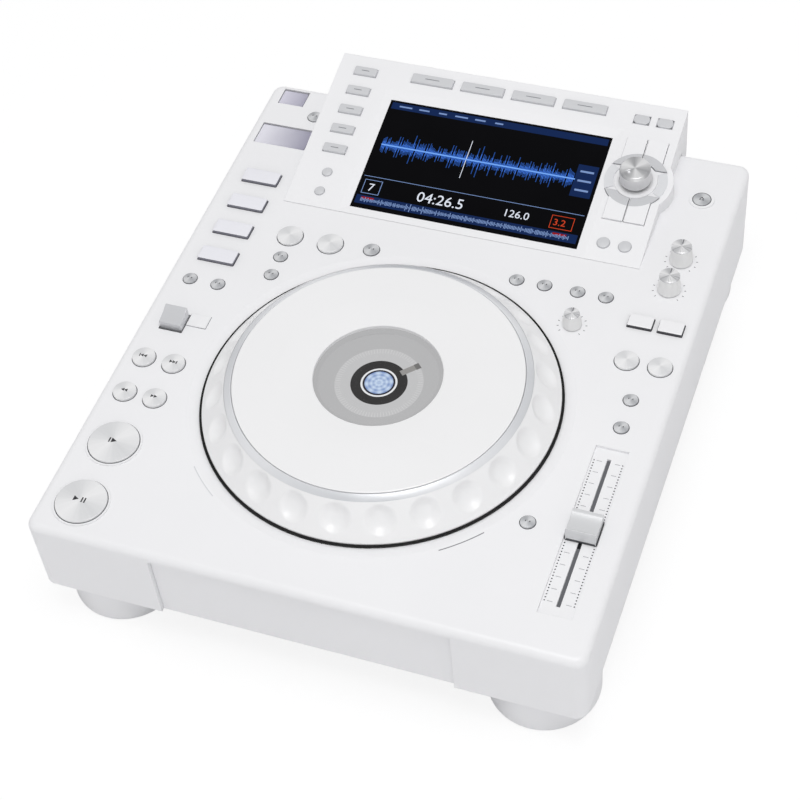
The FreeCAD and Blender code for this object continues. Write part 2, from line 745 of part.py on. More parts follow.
def square_button(width, length, height, cover):
    """Square-cornered button from its flange's underside up."""
    base = size.flange_thickness
    top = base + cover + height
    body = new_body()
    pad(body, "XY_Plane", rectangle(width, length), top)
    soften(body, size.key_corner, upright)
    soften(body, size.cap_rounding, level_at(top))
    brim = rectangle(width + size.flange_width * 2, length + size.flange_width * 2)
    pad(body, "XY_Plane", brim, base)
    return body


def on_deck(button, x, y):
    """Seats a deck button's flange against the deck's underside."""
    return place(button, x, back(y), below_deck(size.deck_thickness + size.flange_thickness))


def on_slope(button, x, up):
    """Seats a display button's flange, in the display unit's own frame."""
    return place(button, x, up, -(size.display_skin + size.flange_thickness))


def deck_hole(radius, x, y):
    z0 = below_deck(size.deck_thickness + OVERCUT)
    z1 = size.deck_height + OVERCUT
    return rod(x, back(y), z0, z1, radius + size.button_gap)


def deck_window(width, length, x, y):
    z0 = below_deck(size.deck_thickness + OVERCUT)
    z1 = size.deck_height + OVERCUT
    gap = size.button_gap * 2
    return block(x, back(y), width + gap, length + gap, z0, z1)


def slope_hole(radius, x, up):
    return rod(x, up, -(size.display_skin + OVERCUT), OVERCUT, radius + size.button_gap)


def slope_window(width, length, x, up):
    gap = size.button_gap * 2
    z0 = -(size.display_skin + OVERCUT)
    return block(x, up, width + gap, length + gap, z0, OVERCUT)


BIG_BUTTONS = [
    ("play_button", size.play_x, size.play_y),
    ("cue_button", size.cue_x, size.cue_y),
]
SEARCH_BUTTONS = [
    ("track_back_button", size.pair_left, size.track_y),
    ("track_forward_button", size.pair_right, size.track_y),
    ("search_back_button", size.pair_left, size.search_y),
    ("search_forward_button", size.pair_right, size.search_y),
]
LOOP_BUTTONS = [
    ("loop_in_button", size.loop_in_x, size.loop_y),
    ("loop_out_button", size.loop_out_x, size.loop_y),
]
SYNC_BUTTONS = [
    ("sync_button", size.sync_x, size.sync_y),
    ("master_button", size.master_x, size.sync_y),
]
SINGLE_BUTTONS = [
    ("eject_button", size.eject_x, size.eject_y, size.eject_radius),
    ("usb_stop_button", size.usb_stop_x, size.usb_stop_y, size.usb_stop_radius),
]
RANGE_BUTTONS = [
    ("tempo_range_button", size.range_x),
    ("master_tempo_button", size.tempo_x),
]
PADS = [(f"pad_{index + 1}", size.pad_first + size.pad_pitch * index) for index in range(4)]
EDIT_SPOTS = [
    (size.edit_left, size.edit_y, size.small_radius),
    (size.edit_right, size.edit_y, size.small_radius),
    (size.half_x, size.half_y, size.small_radius),
    (size.half_x, size.half_y + size.half_pitch, size.small_radius),
    (size.reloop_x, size.reloop_y, size.reloop_radius),
]
BEAT_SPOTS = [
    (size.beat_inner, size.beat_y, size.small_radius),
    (size.beat_inner + size.beat_pair, size.beat_y, size.small_radius),
    (size.beat_inner + size.beat_jump, size.beat_y, size.small_radius),
    (size.beat_inner + size.beat_jump + size.beat_pair, size.beat_y, size.small_radius),
]
MODE_SPOTS = [
    (size.vinyl_x, size.vinyl_y, size.small_radius),
    (size.reset_x, size.reset_first, size.small_radius),
    (size.reset_x, size.reset_first + size.reset_pitch, size.small_radius),
]
BUTTON_GROUPS = [
    ("edit_buttons", EDIT_SPOTS),
    ("beat_buttons", BEAT_SPOTS),
    ("mode_buttons", MODE_SPOTS),
]
KNOBS = [
    ("brake_knob", size.brake_x, size.brake_y),
    ("start_knob", size.start_x, size.start_y),
]
FLAPS = [
    ("usb_cover", size.usb_x, size.usb_y, size.usb_width, size.usb_length),
    ("card_door", size.card_x, size.card_y, size.card_width, size.card_length),
]
SOURCE_SPOTS = [(size.source_x, size.source_first + size.source_pitch * index) for index in range(5)]
MENU_SPOTS = [(size.menu_first + size.menu_pitch * index, size.menu_up) for index in range(4)]
OBLONG_SPOTS = [(size.oblong_first + size.oblong_pitch * index, size.oblong_up) for index in range(2)]
TAG_SPOTS = [(size.tag_first + size.tag_pitch * index, size.tag_up) for index in range(2)]
TIME_SPOTS = [(size.time_x, size.time_first + size.time_pitch * index) for index in range(2)]
FOOT_SPOTS = [(side * size.foot_x, y) for side in (-1, 1) for y in (size.foot_front_y, size.foot_back_y)]


def make_deck_buttons():
    cover = size.deck_thickness
    for label, x, y in BIG_BUTTONS:
        button = round_button(size.big_radius, size.big_height, cover, size.crown * 2)
        node(on_deck(button, x, y), label)
    for label, x, y in SEARCH_BUTTONS:
        button = round_button(size.search_radius, size.search_height, cover, size.crown * 2)
        node(on_deck(button, x, y), label)
    for label, x, y in LOOP_BUTTONS:
        node(on_deck(round_button(size.loop_radius, size.loop_height, cover), x, y), label)
    for label, x, y in SYNC_BUTTONS:
        node(on_deck(round_button(size.sync_radius, size.loop_height, cover), x, y), label)
    for label, x, y, radius in SINGLE_BUTTONS:
        node(on_deck(round_button(radius, size.small_height, cover), x, y), label)
    for label, x in RANGE_BUTTONS:
        button = square_button(size.range_width, size.range_length, size.range_height, cover)
        node(on_deck(button, x, size.range_y), label)
    for label, y in PADS:
        button = square_button(size.pad_width, size.pad_length, size.pad_height, cover)
        node(on_deck(button, size.pad_x, y), label)
    for label, spots in BUTTON_GROUPS:
        buttons = [on_deck(round_button(r, size.small_height, cover), x, y) for x, y, r in spots]
        node(group(*buttons), label)


def deck_button_holes():
    holes = [deck_hole(size.big_radius, x, y) for _, x, y in BIG_BUTTONS]
    holes += [deck_hole(size.search_radius, x, y) for _, x, y in SEARCH_BUTTONS]
    holes += [deck_hole(size.loop_radius, x, y) for _, x, y in LOOP_BUTTONS]
    holes += [deck_hole(size.sync_radius, x, y) for _, x, y in SYNC_BUTTONS]
    holes += [deck_hole(radius, x, y) for _, x, y, radius in SINGLE_BUTTONS]
    holes += [deck_hole(r, x, y) for _, spots in BUTTON_GROUPS for x, y, r in spots]
    for _, x in RANGE_BUTTONS:
        holes.append(deck_window(size.range_width, size.range_length, x, size.range_y))
    for _, y in PADS:
        holes.append(deck_window(size.pad_width, size.pad_length, size.pad_x, y))
    return holes


# Knobs, lever, covers and slider


def make_knob(label, x, y, base_radius, top_radius, height, shaft_radius):
    """Tapered knob whose shaft goes through the deck to a collar under it."""
    deck = size.deck_thickness
    collar = size.flange_thickness
    low = collar + deck + size.knob_rise
    top = collar + deck + height
    body = turned([
        (0, 0),
        (shaft_radius + size.flange_width, 0),
        (shaft_radius + size.flange_width, collar),
        (shaft_radius, collar),
        (shaft_radius, low),
        (base_radius, low),
        (top_radius, top),
        (0, top),
    ])
    soften(body, size.cap_rounding, circle_at(top_radius, top))
    on_deck(body, x, y)
    half = size.pointer_width / 2
    z1 = size.deck_height + height
    pointer = box(x - half, x + half, back(y), back(y) + base_radius, z1 - size.pointer_depth, z1)
    node(cut(body, pointer), label)


def make_knobs():
    for label, x, y in KNOBS:
        make_knob(label, x, y, size.knob_base_radius, size.knob_top_radius, size.knob_height,
                  size.shaft_radius)
    make_knob("jog_feel_knob", size.feel_x, size.feel_y, size.feel_base_radius,
              size.feel_top_radius, size.feel_height, size.feel_shaft_radius)


def knob_holes():
    fit = size.slip_fit - size.button_gap
    holes = [deck_hole(size.shaft_radius + fit, x, y) for _, x, y in KNOBS]
    holes.append(deck_hole(size.feel_shaft_radius + fit, size.feel_x, size.feel_y))
    return holes


def make_lever():
    """Direction lever: a sloping cap on a block that rocks on two pins under the deck."""
    half = size.lever_half_length
    taper = size.lever_taper
    foot = size.lever_pivot_drop + size.lever_pin_radius + 1
    middle = back(size.lever_y)
    deck = size.deck_height
    cap = side_outline([
        (middle - half + taper, deck - size.deck_thickness),
        (middle - half, deck + size.lever_front_height),
        (middle + half, deck + size.lever_back_height),
        (middle + half - taper, deck - size.deck_thickness),
    ], size.lever_x - size.lever_width / 2, size.lever_x + size.lever_width / 2)
    pivot_z = below_deck(size.lever_pivot_drop)
    reach = size.lever_width / 2 + size.lever_pin_length
    stem = block(size.lever_x, middle, size.lever_width, half, deck - foot,
                 deck - size.deck_thickness)
    pins = rod_along_x(size.lever_x - reach, size.lever_x + reach, middle, pivot_z,
                       size.lever_pin_radius)
    node(join(cap, stem, pins), "direction_lever")


def lever_bosses():
    """Bosses under the deck with the lever's pin bores."""
    middle = back(size.lever_y)
    inner = size.lever_width / 2 + size.button_gap
    pivot_z = below_deck(size.lever_pivot_drop)
    radius = size.lever_pin_radius + size.slip_fit
    wall = radius + 1.5
    bosses = []
    for side in (-1, 1):
        x = size.lever_x + side * (inner + size.lever_boss / 2)
        bosses.append(block(x, middle, size.lever_boss, wall * 2, pivot_z - wall,
                            below_deck(size.deck_thickness)))
    reach = inner + size.lever_boss + OVERCUT
    bore = rod_along_x(size.lever_x - reach, size.lever_x + reach, middle, pivot_z, radius)
    return bosses, bore


def make_flap(label, x, y, width, length):
    """Cover that swings on pins along its back edge."""
    half = width / 2
    axis_y = back(y) + length / 2
    axis_z = below_deck(size.flap_thickness)
    reach = half + size.flap_pin_length
    plate = box(x - half, x + half, axis_y - length, axis_y, axis_z, size.deck_height)
    knuckle = rod_along_x(x - half, x + half, axis_y, axis_z, size.flap_thickness)
    pins = rod_along_x(x - reach, x + reach, axis_y, axis_z, size.flap_pin_radius)
    node(join(plate, knuckle, pins), label)


def flap_pocket(x, y, width, length):
    half = width / 2 + size.button_gap
    axis_y = back(y) + length / 2
    axis_z = below_deck(size.flap_thickness)
    reach = width / 2 + size.flap_pin_length + size.button_gap
    pocket = box(x - half, x + half, axis_y - length - size.button_gap,
                 axis_y + size.flap_thickness + size.button_gap,
                 below_deck(size.deck_thickness + OVERCUT), size.deck_height + OVERCUT)
    bore = rod_along_x(x - reach, x + reach, axis_y, axis_z, size.flap_pin_radius + size.slip_fit)
    return [pocket, bore]


def make_ports():
    """Block under the two covers with the stick socket and the card slot."""
    top = below_deck(size.deck_thickness)
    usb_y = back(size.usb_y)
    card_y = back(size.card_y)
    margin = size.port_margin + size.button_gap
    pocket_back = size.flap_thickness
    limit = size.body_depth - size.wall_thickness - size.rear_panel_thickness - size.seam_gap
    left = size.card_x - size.card_width / 2 - margin
    right = size.card_x + size.card_width / 2 + margin
    card_back = card_y + size.card_length / 2 + pocket_back + margin
    card_block = box(left, right, card_y - size.card_length / 2 - margin, card_back,
                     top - size.port_depth, top)
    usb_half = size.usb_width / 2 + margin
    usb_block = box(size.usb_x - usb_half, size.usb_x + usb_half, card_back, back(limit),
                    top - size.port_depth, top)
    socket = block(size.usb_x, usb_y, size.usb_port_width, size.usb_port_length,
                   top - size.usb_port_depth, top + OVERCUT)
    slot = block(size.card_x, card_y, size.card_port_width, size.card_port_length,
                 top - size.card_port_depth, top + OVERCUT)
    tongue = block(size.usb_x, usb_y, size.usb_port_width - 1, size.usb_tongue,
                   top - size.usb_port_depth, top - size.usb_tongue_drop)
    node(join(cut(join(card_block, usb_block), group(socket, slot)), tongue), "media_ports")


def make_slider():
    """Tempo slider: a hollow-topped cap on a stem, and the body that guides its carriage."""
    x = size.slider_x
    y = back(size.slider_middle)
    under = below_deck(size.deck_thickness)
    cap_low = below_deck(size.slider_recess_depth) + size.slider_cap_rise
    cap_top = cap_low + size.slider_cap_height
    cap = block(x, y, size.slider_cap_width, size.slider_cap_length, cap_low, cap_top)
    half = size.slider_cap_width / 2 + OVERCUT
    hollow_z = cap_top + size.slider_hollow_radius - size.slider_hollow_depth
    hollow = rod_along_x(x - half, x + half, y, hollow_z, size.slider_hollow_radius)
    carriage_top = under - size.carriage_drop
    stem = block(x, y, size.slider_stem_width, size.slider_stem_length, carriage_top, cap_low)
    carriage_width = size.slider_channel_width - size.slip_fit * 2
    carriage = block(x, y, carriage_width, size.carriage_length,
                     carriage_top - size.carriage_height, carriage_top)
    node(join(cut(cap, hollow), stem, carriage), "slider_cap")
    unit = block(x, y, size.slider_unit_width, size.slider_unit_length,
                 under - size.slider_unit_height, under)
    run = size.slider_travel + size.carriage_length + size.button_gap * 2
    channel = block(x, y, size.slider_channel_width, run,
                    carriage_top - size.carriage_height, under + OVERCUT)
    node(cut(unit, channel), "slider_unit")


def slider_cuts():
    x = size.slider_x
    y = back(size.slider_middle)
    top = size.deck_height + OVERCUT
    recess = block(x, y, size.slider_recess_width, size.slider_recess_length,
                   below_deck(size.slider_recess_depth), top)
    run = size.slider_travel + size.slider_stem_length + size.button_gap * 2
    slot = block(x, y, size.slider_slot, run, below_deck(size.deck_thickness + OVERCUT), top)
    return [recess, slot]


# Shell


def make_top_cover():
    """Deck and walls in one shell, with the jog dish and every opening of the deck."""
    half = size.body_width / 2
    wall = size.wall_thickness
    deck = size.deck_height
    depth = size.body_depth
    outer = side_outline([
        (back(0), size.front_edge_height),
        (back(0), deck),
        (back(depth), deck),
        (back(depth), size.back_edge_height),
    ], -half, half)
    soften(outer, size.corner_radius, upright)
    soften(outer, size.rim_radius, level_at(deck))
    cavity = side_outline([
        (back(wall), 0),
        (back(wall), deck - size.deck_thickness),
        (back(depth - wall), deck - size.deck_thickness),
        (back(depth - wall), 0),
    ], -half + wall, half - wall)
    soften(cavity, size.corner_radius - wall, upright)
    shell = cut(outer, cavity)

    notch = box(size.front_left, size.front_right, back(-OVERCUT),
                back(wall + OVERCUT), 0, deck - size.front_lip)
    rear = box(-size.rear_opening_half_width, size.rear_opening_half_width,
               back(depth - wall - OVERCUT), back(depth + OVERCUT),
               size.rear_opening_low, size.rear_opening_high)
    under_display = box(size.opening_left, size.opening_right,
                        back(size.crease_y + size.opening_setback), back(size.opening_back),
                        deck - size.deck_thickness - OVERCUT, deck + OVERCUT)
    jog_y = back(size.jog_y)
    well = rod(0, jog_y, below_deck(size.deck_thickness + OVERCUT), deck + OVERCUT,
               size.well_radius)
    flare = (size.dish_radius - size.well_radius) / size.dish_depth
    dish = cone(0, jog_y, below_deck(size.dish_depth), deck + OVERCUT, size.well_radius,
                size.dish_radius + flare * OVERCUT)
    bosses, pin_bore = lever_bosses()
    rings = []
    for _, x, y in BIG_BUTTONS:
        rings.append(rod(x, back(y), deck - OVERCUT, deck + size.big_ring_height,
                         size.big_ring_radius))
    rings.append(rod(size.eject_x, back(size.eject_y), deck - OVERCUT,
                     deck + size.big_ring_height, size.eject_ring_radius))
    tile = block(size.tile_x, back(size.tile_y), size.tile_width, size.tile_length,
                 deck - OVERCUT, deck + size.tile_height)
    lever_hole = block(size.lever_x, back(size.lever_y),
                       size.lever_width + size.button_gap * 2,
                       (size.lever_half_length + size.lever_slack) * 2,
                       below_deck(size.deck_thickness + OVERCUT), deck + OVERCUT)
    pockets = [tool for _, x, y, width, length in FLAPS
               for tool in flap_pocket(x, y, width, length)]
    tools = [notch, rear, under_display, join(well, dish), join(lever_hole, pin_bore)]
    tools += [join(*pockets), join(*slider_cuts())]
    tools += rear_screw_holes()
    tools += deck_button_holes() + knob_holes()
    raised = join(shell, *bosses, *rings, tile)
    node(cut(raised, group(*tools)), "top_cover")


def make_front_panel():
    """Recessed middle of the front face, lapped behind the walls."""
    face_y = back(size.front_recess)
    inner_y = back(size.wall_thickness)
    rear_y = face_y + size.panel_thickness
    gap = size.seam_gap
    face = box(size.front_left + gap, size.front_right - gap, face_y, rear_y,
               size.front_edge_height, size.deck_height - size.front_lip - gap)
    lap = box(size.front_left - size.front_lap, size.front_right + size.front_lap, inner_y,
              rear_y, size.front_edge_height + size.base_thickness + gap,
              below_deck(size.deck_thickness))
    node(join(face, lap), "front_panel")


def post_foot(distance):
    """A post's foot, in the middle of the base plate's thickness."""
    return lower_edge(distance) + size.base_thickness / 2


def make_bottom_plate():
    """Sloping base plate with the tub that holds the drive, its disc slot and the posts."""
    gap = size.seam_gap
    half = size.body_width / 2 - size.wall_thickness - gap
    near = size.wall_thickness + size.panel_thickness
    far = size.body_depth - size.wall_thickness - gap
    sheet_up = size.base_thickness
    plate = side_outline([
        (back(near), lower_edge(near)),
        (back(near), lower_edge(near) + sheet_up),
        (back(far), lower_edge(far) + sheet_up),
        (back(far), lower_edge(far)),
    ], -half, half)
    soften(plate, size.corner_radius - size.wall_thickness, upright)
    tub_half = size.tub_half_width
    tub = box(-tub_half, tub_half, back(size.tub_front), back(size.tub_back), size.tub_bottom,
              size.tub_rim)
    thickness = size.base_thickness
    inside = box(-tub_half + thickness, tub_half - thickness, back(size.tub_front + thickness),
                 back(size.tub_back - thickness), size.tub_bottom + thickness,
                 size.tub_rim + OVERCUT)
    slot = box(-size.disc_slot_half_width, size.disc_slot_half_width,
               back(size.tub_front - OVERCUT), back(size.tub_front + thickness + OVERCUT),
               size.disc_slot_low, size.disc_slot_low + size.disc_slot_height)
    posts = []
    inset = size.post_inset
    for x in (size.board_left + inset, size.board_right - inset):
        for y in (size.board_front + inset, size.board_back - inset * 3):
            posts.append(rod(x, back(y), post_foot(y), size.board_height, size.post_radius))
    for x in (size.supply_left + inset, size.supply_right - inset):
        for y in (size.supply_front + inset, size.supply_back - inset):
            posts.append(rod(x, back(y), post_foot(y), size.supply_bottom, size.post_radius))
    solid = cut(join(plate, tub, *posts), inside, slot, *base_screw_holes())
    node(solid, "bottom_plate")


def make_rear_panel():
    """Plate behind the back wall's opening, with holes for the sockets and the switch."""
    outer = back(size.body_depth - size.wall_thickness)
    inner = outer - size.rear_panel_thickness
    half = size.rear_panel_half_width
    plate = box(-half, half, inner, outer, size.rear_panel_low, size.rear_panel_high)
    y0 = inner - OVERCUT
    y1 = outer + OVERCUT
    fit = size.slip_fit * 2
    holes = []
    for index in range(3):
        x = size.phono_first_x + size.phono_pitch * index
        holes.append(rod_along_y(y0, y1, x, size.jack_z, size.phono_radius + fit))
    holes.append(rod_along_y(y0, y1, size.control_x, size.jack_z, size.control_radius + fit))
    for x, width, height in ((size.network_x, size.network_width, size.network_height),
                             (size.computer_x, size.computer_width, size.computer_height)):
        holes.append(box(x - width / 2 - fit, x + width / 2 + fit, y0, y1,
                         size.jack_z - height / 2 - fit, size.jack_z + height / 2 + fit))
    half_width = size.inlet_width / 2 + fit
    half_height = size.inlet_height / 2 + fit
    holes.append(box(size.inlet_x - half_width, size.inlet_x + half_width, y0, y1,
                     size.inlet_z - half_height, size.inlet_z + half_height))
    rocker_half = size.switch_width / 2 + size.button_gap
    rocker_room = size.switch_half_height + OVERCUT
    holes.append(box(size.switch_x - rocker_half, size.switch_x + rocker_half, y0, y1,
                     size.switch_z - rocker_room, size.switch_z + rocker_room))
    pivot_y = outer - size.switch_pivot_depth
    cheek_half = size.switch_half_height - 2
    cheeks = []
    for side in (-1, 1):
        x = size.switch_x + side * (rocker_half + size.switch_cheek / 2)
        cheeks.append(block(x, (pivot_y + inner) / 2 - 1, size.switch_cheek,
                            inner - pivot_y + 8, size.switch_z - cheek_half,
                            size.switch_z + cheek_half))
    reach = rocker_half + size.switch_cheek + OVERCUT
    bore = rod_along_x(size.switch_x - reach, size.switch_x + reach, pivot_y, size.switch_z,
                       size.switch_pin_radius + size.slip_fit)
    panel = cut(join(plate, *cheeks), group(*holes, *rear_screw_holes()), bore)
    node(panel, "rear_panel")
    make_switch(pivot_y)
    make_inlet(inner, outer)
    make_jacks(inner, outer)


def make_switch(pivot_y):
    half = size.switch_half_height
    reach = size.switch_reach
    z = size.switch_z
    x0 = size.switch_x - size.switch_width / 2
    x1 = size.switch_x + size.switch_width / 2
    rocker = side_outline([
        (pivot_y - 2, z - half + 2),
        (pivot_y + reach, z - half),
        (pivot_y + reach - size.switch_dip, z),
        (pivot_y + reach, z + half),
        (pivot_y - 2, z + half - 2),
    ], x0, x1)
    pin_reach = size.switch_cheek - 0.4
    pins = rod_along_x(x0 - pin_reach, x1 + pin_reach, pivot_y, z, size.switch_pin_radius)
    node(join(rocker, pins), "power_switch")


def make_inlet(inner, outer):
    """Mains inlet with three recessed contact pins."""
    x = size.inlet_x
    z = size.inlet_z
    face = outer + size.inlet_flange_thickness
    half = size.inlet_width / 2
    half_height = size.inlet_height / 2
    body = box(x - half, x + half, inner - size.inlet_depth, outer, z - half_height,
               z + half_height)
    flange = box(x - size.inlet_flange_width / 2, x + size.inlet_flange_width / 2, outer, face,
                 z - size.inlet_flange_height / 2, z + size.inlet_flange_height / 2)
    mouth_half = size.inlet_mouth_width / 2
    mouth_height = size.inlet_mouth_height / 2
    mouth = box(x - mouth_half, x + mouth_half, face - size.inlet_mouth_depth, face + OVERCUT,
                z - mouth_height, z + mouth_height)
    pins = []
    for across, up in ((-1, -0.3), (0, 0.3), (1, -0.3)):
        pin_x = x + size.inlet_pin_pitch * across
        pin_z = z + size.inlet_pin_pitch * up
        pins.append(box(pin_x - 1, pin_x + 1, face - size.inlet_mouth_depth,
                        face - size.inlet_pin_recess, pin_z - 2, pin_z + 2))
    node(join(cut(join(body, flange), mouth), *pins), "ac_inlet")


def make_jacks(inner, outer):
    """Block of signal, control, network and computer sockets that stands on the main board."""
    z = size.jack_z
    low = size.board_height + size.board_thickness
    high = z + size.network_height / 2 + 1
    solid = [box(size.jack_block_left, size.jack_block_right, inner - size.jack_block_depth,
                 inner, low, high)]
    bores = []
    tip = back(size.body_depth)
    for index in range(3):
        x = size.phono_first_x + size.phono_pitch * index
        end = tip + size.phono_reach
        solid.append(rod_along_y(inner - OVERCUT, end, x, z, size.phono_radius))
        bores.append(rod_along_y(end - size.socket_depth, end + OVERCUT, x, z, size.phono_bore))
    solid.append(rod_along_y(inner - OVERCUT, outer + OVERCUT, size.control_x, z,
                             size.control_radius))
    bores.append(rod_along_y(inner - OVERCUT, outer + OVERCUT * 2, size.control_x, z,
                             size.control_bore))
    wall = size.socket_wall
    for x, width, height in ((size.network_x, size.network_width, size.network_height),
                             (size.computer_x, size.computer_width, size.computer_height)):
        end = outer + OVERCUT
        solid.append(box(x - width / 2, x + width / 2, inner - OVERCUT, end, z - height / 2,
                         z + height / 2))
        bores.append(box(x - width / 2 + wall, x + width / 2 - wall, end - size.socket_depth,
                         end + OVERCUT, z - height / 2 + wall, z + height / 2 - wall))
    node(cut(join(*solid), group(*bores)), "rear_jacks")


def rear_screw_spots():
    return [(side * size.rear_screw_x, z) for side in (-1, 1)
            for z in (size.rear_screw_low, size.rear_screw_high)]


def base_screw_spots():
    x = size.frame_half_width - size.rail_width / 2
    return [(side * x, y) for side in (-1, 1) for y in (size.base_screw_front, size.base_screw_back)]


def rear_screw_holes():
    face = back(size.body_depth)
    reach = size.wall_thickness + size.rear_panel_thickness + OVERCUT
    radius = size.screw_radius
    return [rod_along_y(face - reach, face + OVERCUT, x, z, radius) for x, z in rear_screw_spots()]


def base_screw_holes():
    z0 = size.tub_bottom - OVERCUT
    z1 = size.tub_bottom + size.base_thickness + OVERCUT
    return [rod(x, back(y), z0, z1, size.screw_radius) for x, y in base_screw_spots()]


def make_screws():
    """Four screws through the back wall and four through the tub into the drive's rails."""
    head = size.screw_head_height
    screws = []
    face = back(size.body_depth)
    depth = size.wall_thickness + size.rear_panel_thickness
    for x, z in rear_screw_spots():
        shank = rod_along_y(face - depth, face + head / 2, x, z, size.screw_radius)
        screws.append(join(shank, rod_along_y(face, face + head, x, z, size.screw_head_radius)))
    seat = size.tub_bottom
    for x, y in base_screw_spots():
        shank = rod(x, back(y), seat - head / 2, seat + size.base_thickness, size.screw_radius)
        screws.append(join(shank, rod(x, back(y), seat - head, seat, size.screw_head_radius)))
    node(group(*screws), "screws")


def make_feet():
    """Four round feet cut to the base's slope."""
    room = size.front_edge_height * 3
    near = -size.foot_radius
    far = size.body_depth + size.foot_radius
    half = size.body_width
    above = side_outline([
        (back(near), lower_edge(near)),
        (back(near), room),
        (back(far), room),
        (back(far), lower_edge(far)),
    ], -half, half)
    columns = []
    for x, y in FOOT_SPOTS:
        column = turned([(0, 0), (size.foot_radius, 0), (size.foot_radius, room / 2), (0, room / 2)])
        soften(column, size.foot_rounding, circle_at(size.foot_radius, 0))
        columns.append(place(column, x, back(y)))
    node(cut(group(*columns), above), "feet")


# Slot-in drive and boards


def make_drive():
    """Drive frame with its rails, disc guide, motor, guide rods and the pieces that they carry."""
    floor = size.tub_bottom + size.base_thickness
    plate_top = floor + size.frame_sheet
    half = size.frame_half_width
    inner = half - size.rail_width
    front = back(size.frame_front)
    rear = back(size.frame_back)
    plate_front = back(size.roller_y) + size.roller_radius * 2
    plate = box(-half, half, plate_front, rear, floor, plate_top)
    rails = [box(low, low + size.rail_width, front, rear, floor, size.rail_top)
             for low in (-half, inner)]
    guide = box(-half, half, front, front + size.guide_depth, size.rail_top - size.guide_height,
                size.rail_top)
    motor_top = plate_top + size.motor_height
    motor = rod(0, back(size.spindle_y), floor, motor_top, size.motor_radius)
    window_front = back(size.sled_front) - size.button_gap
    window_back = back(size.sled_front) + size.sled_length + size.sled_travel + size.button_gap
    side = size.sled_half_width + size.button_gap
    window = box(-side, side, window_front, window_back, floor - OVERCUT, plate_top + OVERCUT)
    ear_top = size.rod_height + size.rod_radius + 1
    ears = [box(-side, side, window_front - size.ear_thickness, window_front, floor, ear_top),
            box(-side, side, window_back, window_back + size.ear_thickness, floor, ear_top)]
    spindle_bore = rod(0, back(size.spindle_y), floor - OVERCUT, motor_top + OVERCUT,
                       size.spindle_radius + size.slip_fit)
    roller_z = size.disc_slot_low - size.roller_radius - size.slip_fit * 2
    roller_y = back(size.roller_y)
    pin_bore = rod_along_x(-half - OVERCUT, half + OVERCUT, roller_y, roller_z,
                           size.roller_pin_radius + size.slip_fit)
    screw_holes = [rod(x, back(y), floor - OVERCUT, floor + size.frame_sheet, size.screw_radius)
                   for x, y in base_screw_spots()]
    chassis = cut(join(plate, *rails, guide, motor, *ears), window, spindle_bore, pin_bore,
                  *screw_holes)
    rods = [rod_along_y(window_front - size.ear_thickness / 2,
                        window_back + size.ear_thickness / 2, side_x, size.rod_height,
                        size.rod_radius) for side_x in (-size.rod_x, size.rod_x)]
    node(join(chassis, *rods), "drive_frame")

    gap = size.button_gap
    table = size.disc_slot_low - 1.7
    hub = turned([
        (0, floor + 0.2),
        (size.spindle_radius, floor + 0.2),
        (size.spindle_radius, motor_top + gap),
        (size.hub_radius, motor_top + gap),
        (size.hub_radius, table),
        (size.hub_nose_radius, table),
        (size.hub_nose_radius - 1, size.disc_slot_low),
        (0, size.disc_slot_low),
    ])
    node(place(hub, 0, back(size.spindle_y)), "spindle_hub")

    roller_half = size.roller_half_length
    roller = rod_along_x(-roller_half, roller_half, roller_y, roller_z, size.roller_radius)
    pins = rod_along_x(-half, half, roller_y, roller_z, size.roller_pin_radius)
    node(join(roller, pins), "load_roller")

    sled_y = back(size.sled_front)
    sled_z = size.rod_height - size.sled_height / 2
    sled = box(-size.sled_half_width, size.sled_half_width, sled_y, sled_y + size.sled_length,
               sled_z, sled_z + size.sled_height)
    bores = [rod_along_y(sled_y - OVERCUT, sled_y + size.sled_length + OVERCUT, side_x,
                         size.rod_height, size.rod_radius + size.slip_fit)
             for side_x in (-size.rod_x, size.rod_x)]
    lens = rod(0, sled_y + size.sled_length / 2, sled_z + size.sled_height - 0.1,
               sled_z + size.sled_height + 0.4, 3)
    node(join(cut(sled, group(*bores)), lens), "pickup_sled")


def make_boards():
    """Main board with its parts, and the boxed power supply."""
    low = size.board_height
    high = low + size.board_thickness
    sheet_board = box(size.board_left, size.board_right, back(size.board_front),
                      back(size.board_back), low, high)
    width = size.board_right - size.board_left
    depth = size.board_back - size.board_front
    parts = []
    for across, along, wide, long, tall in (
            (0.25, 0.30, 28, 28, 2.2), (0.55, 0.35, 22, 22, 1.8), (0.80, 0.30, 14, 20, 1.6),
            (0.35, 0.62, 16, 10, 1.6), (0.60, 0.62, 12, 12, 4.0), (0.85, 0.60, 10, 30, 8.0)):
        parts.append(block(size.board_left + width * across, back(size.board_front) + depth * along,
                           wide, long, high - 0.1, high + tall))
    node(join(sheet_board, *parts), "main_board")
    supply = box(size.supply_left, size.supply_right, back(size.supply_front),
                 back(size.supply_back), size.supply_bottom,
                 size.supply_bottom + size.supply_height)
    node(supply, "power_supply")


# Jog wheel


